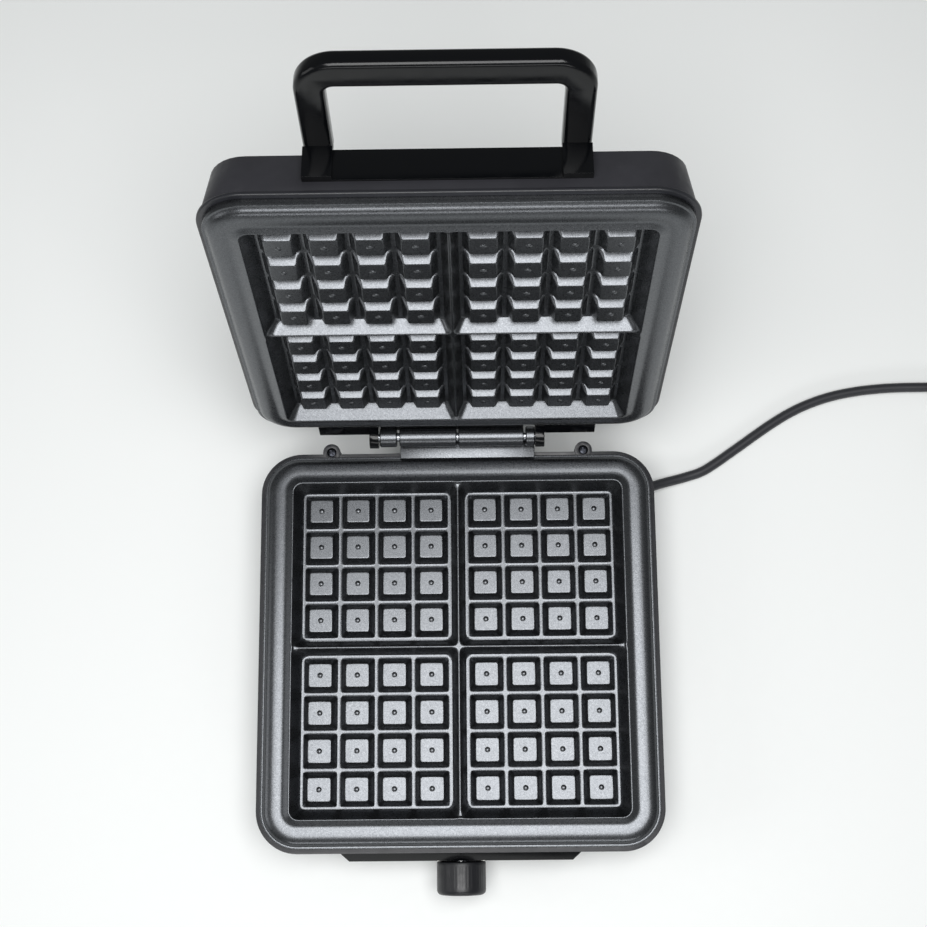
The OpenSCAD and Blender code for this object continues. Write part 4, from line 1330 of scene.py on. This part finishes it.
@dataclass
class Lid:
    """The lid's shell, rim, metal cover and hinge caps."""

    def build(self, nodes: dict[str, bpy.types.Object]) -> None:
        """Makes every outer piece of the lid."""
        shell = softened(nodes, "lid_housing", "lid_shell", SHELL_PLASTIC, edge=0.8)
        put(shell, Body.LID, ["lid_housing"])
        rim = softened(nodes, "lid_bezel", "lid_rim", RIM_PLASTIC, edge=0.7)
        put(rim, Body.LID, ["lid_bezel"])
        cover = softened(nodes, "lid_top_cover", "lid_cover_plate", BRUSHED_COVER, edge=0.2, steps=2)
        put(cover, Body.LID, ["lid_top_cover"])
        caps = softened(nodes, "lid_hinge_caps", "hinge_covers", GLOSS_BLACK, edge=0.8)
        put(caps, Body.LID, ["lid_hinge_caps"])
        log.info("lid: shell, rim, cover and hinge caps")


@dataclass
class Handle:
    """The bail handle and the base that holds it to the lid."""

    edge: float = 3.2

    def build(self, nodes: dict[str, bpy.types.Object]) -> None:
        """Makes the bail and its base."""
        bail = softened(nodes, "handle_bail", "handle", GLOSS_BLACK, edge=self.edge, steps=5)
        put(bail, Body.LID, ["handle_bail"])
        base = softened(nodes, "handle_base", "handle_bracket", GLOSS_BLACK, edge=0.9)
        put(base, Body.LID, ["handle_base"])
        log.info("handle: bail and bracket")


@dataclass
class Knob:
    """The browning knob, with a fine grip round its side, and the marks that it points at."""

    radius: float = 16.5
    length: float = 21.8
    flutes: int = 40
    flute_depth: float = 0.14
    axis_z: float = 30.0
    face_y: float = -141.5
    panel_y: float = -140.5
    mark_radius: float = 20.5
    marks: int = 7
    dish: float = 0.4

    def place(self) -> Matrix:
        """The knob's place, with its own axis along Z."""
        point = Matrix.Translation((0, self.face_y, self.axis_z))
        return PLACE.base() @ point @ Matrix.Rotation(math.pi / 2, 4, "X")

    def build_knob(self) -> None:
        """Turns the knob, with flutes that fade out before its rounded face."""
        steps = self.flutes * 4
        sketch = Sketch()
        loops = []
        r, end = self.radius, self.length
        outline = [
            (3.0, 0, 0), (r - 1.0, 0, 0), (r - 0.3, 0.4, 0), (r, 1.2, 0), (r, 2.6, 0), (r, 3.6, 1),
            (r, end - 6.0, 1), (r, end - 4.6, 0), (r, end - 3.0, 0),
        ]
        turns = [math.radians(a) for a in (20, 40, 60, 78, 90)]
        outline += [(r - 3 + 3 * math.cos(a), end - 3 + 3 * math.sin(a), 0) for a in turns]
        outline += [(r - 4.2, end, 0), (r - 4.8, end - self.dish, 0), (0.05, end - self.dish, 0)]
        for radius, z, fluted in outline:
            loop = []
            for k in range(steps):
                a = 2 * math.pi * k / steps
                cut = fluted * self.flute_depth * (0.5 - 0.5 * math.cos(self.flutes * a))
                reach = radius - cut
                loop.append(self.place() @ Vector((reach * math.cos(a), reach * math.sin(a), z)))
            loops.append(loop)
        sketch.loft(loops)
        piece = sketch.build("browning_knob", KNOB_BLACK)
        put(piece, Body.KNOB, ["control_knob"])

    def build_marks(self) -> None:
        """Sets short raised marks round the knob, without any lettering."""
        bar = Sketch()
        bar.block((-1.6, -0.35, -0.3), (1.6, 0.35, 0.15), 0.1, steps=1)
        part = bar.build("mark_pattern", POINTER_WHITE)
        sketch = Sketch()
        for i in range(self.marks):
            a = math.radians(225 - 270 * i / (self.marks - 1))
            point = Matrix.Translation((0, self.panel_y, self.axis_z))
            facing = Matrix.Rotation(math.pi / 2, 4, "X") @ Matrix.Rotation(a, 4, "Z")
            place = PLACE.base() @ point @ facing @ Matrix.Translation((self.mark_radius, 0, 0))
            points = [place @ (v.co / MM) for v in part.data.vertices]
            sketch.add(points, [list(f.vertices) for f in part.data.polygons])
        bpy.data.objects.remove(part)
        piece = sketch.build("dial_marks", POINTER_WHITE)
        put(piece, Body.BASE)

    def build(self) -> None:
        """Makes the knob and its marks."""
        self.build_knob()
        self.build_marks()
        log.info("knob with %d flutes and %d marks", self.flutes, self.marks)


@dataclass
class ScrewSet:
    """A group of equal screws that holds two pieces together."""

    name: str
    node: str
    body: Body
    slot: str
    finish: Finish
    diameter: float
    length: float
    head_d: float
    head: float
    seats: list[tuple[Vector, Vector]] = field(default_factory=list)

    def build(self) -> None:
        """Makes the screws, each turned to its own angle."""
        part = cross_screw(self.diameter, self.length, self.head_d, self.head)
        piece = scatter(self.name, part, self.seats, self.finish, turn=math.tau, seed=len(self.name))
        put(piece, self.body, [self.node])


@dataclass
class Fasteners:
    """Every screw of the appliance, placed by the pieces that it holds."""

    stud: float = 93.43
    shield_z: float = 44.3
    post: tuple[float, float] = (120.4, 62.0)
    post_seat_z: float = 7.7
    lug: tuple[float, float] = (87.6, 136.0)
    lug_seat_z: float = 53.2
    cap_x: tuple[float, float] = (66.0, 89.0)
    cap_seat_y: float = 148.0
    cap_z: float = 83.5
    handle_x: float = 68.7
    handle_seat_y: float = -124.0
    handle_z: tuple[float, float] = (90.0, 97.0)

    def seats(self, points: Iterable[Sequence[float]], way: Sequence[float], place: Matrix) -> list:
        """Turns points and a direction in the shut frame into seats in the scene."""
        out = (place.to_3x3() @ Vector(way)).normalized()
        return [(place @ Vector(p), out) for p in points]

    def sets(self) -> list[ScrewSet]:
        """All the screw sets."""
        both = (-1, 1)
        corners = [(sx, sy) for sx in both for sy in both]
        base, lid, mirror = PLACE.base(), PLACE.lid(), PLACE.lid_mirror()
        studs = [(sx * self.stud, sy * self.stud, self.shield_z) for sx, sy in corners]
        posts = [(sx * self.post[0], sy * self.post[1], self.post_seat_z) for sx, sy in corners]
        lugs = [(s * self.lug[0], self.lug[1], self.lug_seat_z) for s in both]
        caps = [(s * x, self.cap_seat_y, self.cap_z) for s in both for x in self.cap_x]
        grips = [(s * self.handle_x, self.handle_seat_y, z) for s in both for z in self.handle_z]
        down, up, back = (0, 0, -1), (0, 0, 1), (0, 1, 0)
        steel, black = PLATED_STEEL, BLACK_SCREW
        return [
            ScrewSet("base_shield_screws", "lower_plate_screws", Body.BASE, "steel", steel,
                     4.0, 7.8, 8.0, 2.2, self.seats(studs, down, base)),
            ScrewSet("lid_shield_screws", "upper_plate_screws", Body.LID, "steel", steel,
                     4.0, 7.8, 8.0, 2.2, self.seats(studs, down, mirror)),
            ScrewSet("underside_screws", "bottom_cover_screws", Body.BASE, "steel", steel,
                     3.2, 14.0, 6.4, 1.2, self.seats(posts, down, base)),
            ScrewSet("lug_screws", "rear_lug_screws", Body.BASE, "steel", black,
                     3.2, 12.0, 6.5, 1.8, self.seats(lugs, up, base)),
            ScrewSet("hinge_cover_screws", "hinge_cap_screws", Body.LID, "steel", steel,
                     3.4, 18.0, 6.4, 2.0, self.seats(caps, back, lid)),
            ScrewSet("handle_bracket_screws", "handle_screws", Body.LID, "steel", steel,
                     4.0, 10.5, 7.0, 2.4, self.seats(grips, back, lid)),
        ]

    def build(self) -> None:
        """Makes every set."""
        for screws in self.sets():
            screws.build()
            log.info("%s: %d screws", screws.name, len(screws.seats))


@dataclass
class Internals:
    """The pieces inside the casings, which keep their own shapes."""

    finishes: dict[str, Finish] = field(
        default_factory=lambda: {
            "lower_heating_element": HEATER_SHEATH,
            "upper_heating_element": HEATER_SHEATH,
            "lower_heat_shield": SHEET_ALUMINIUM,
            "upper_heat_shield": SHEET_ALUMINIUM,
            "indicator_lamps": NEON_GLASS,
            "thermostat": STEATITE,
            "thermostat_bracket": PLATED_STEEL,
            "thermal_fuse": PLATED_STEEL,
            "terminal_block": STEATITE,
            "hinge_pin": PLATED_STEEL,
            "knob_spindle": PLATED_STEEL,
            "knob_marker": POINTER_WHITE,
        }
    )

    def build(self, nodes: dict[str, bpy.types.Object]) -> None:
        """Dresses each node in its finish."""
        for node, finish in self.finishes.items():
            nodes[node].data.materials.clear()
            nodes[node].data.materials.append(finish.material())
            for polygon in nodes[node].data.polygons:
                polygon.material_index = 0
        log.info("internals: %d nodes dressed", len(self.finishes))


def corners(box: tuple[Vector, Vector]) -> list[list[float]]:
    """A box's two corners as plain numbers."""
    return [[float(c) for c in corner] for corner in box]


def main() -> None:
    """Builds the scene: camera and cord first, then each sub-assembly."""
    logging.basicConfig(level=logging.INFO, format="%(name)s: %(message)s")
    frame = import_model()
    nodes = frame["nodes"]
    view = Viewpoint()
    view.set_camera()
    view.set_table()
    view.set_lights()
    MainsCord().build(nodes)
    WafflePlate("lower_plate", "lower_cooking_plate", Body.BASE, upper=False, bore_d=6.0).build()
    WafflePlate(
        "upper_plate", "upper_cooking_plate", Body.LID, upper=True, knuckles=((-53.0, -41.3), (1.0, 45.8))
    ).build()
    Base().build(nodes)
    Lid().build(nodes)
    Handle().build(nodes)
    Knob().build()
    Fasteners().build()
    Internals().build(nodes)


if __name__ == "__main__":
    main()
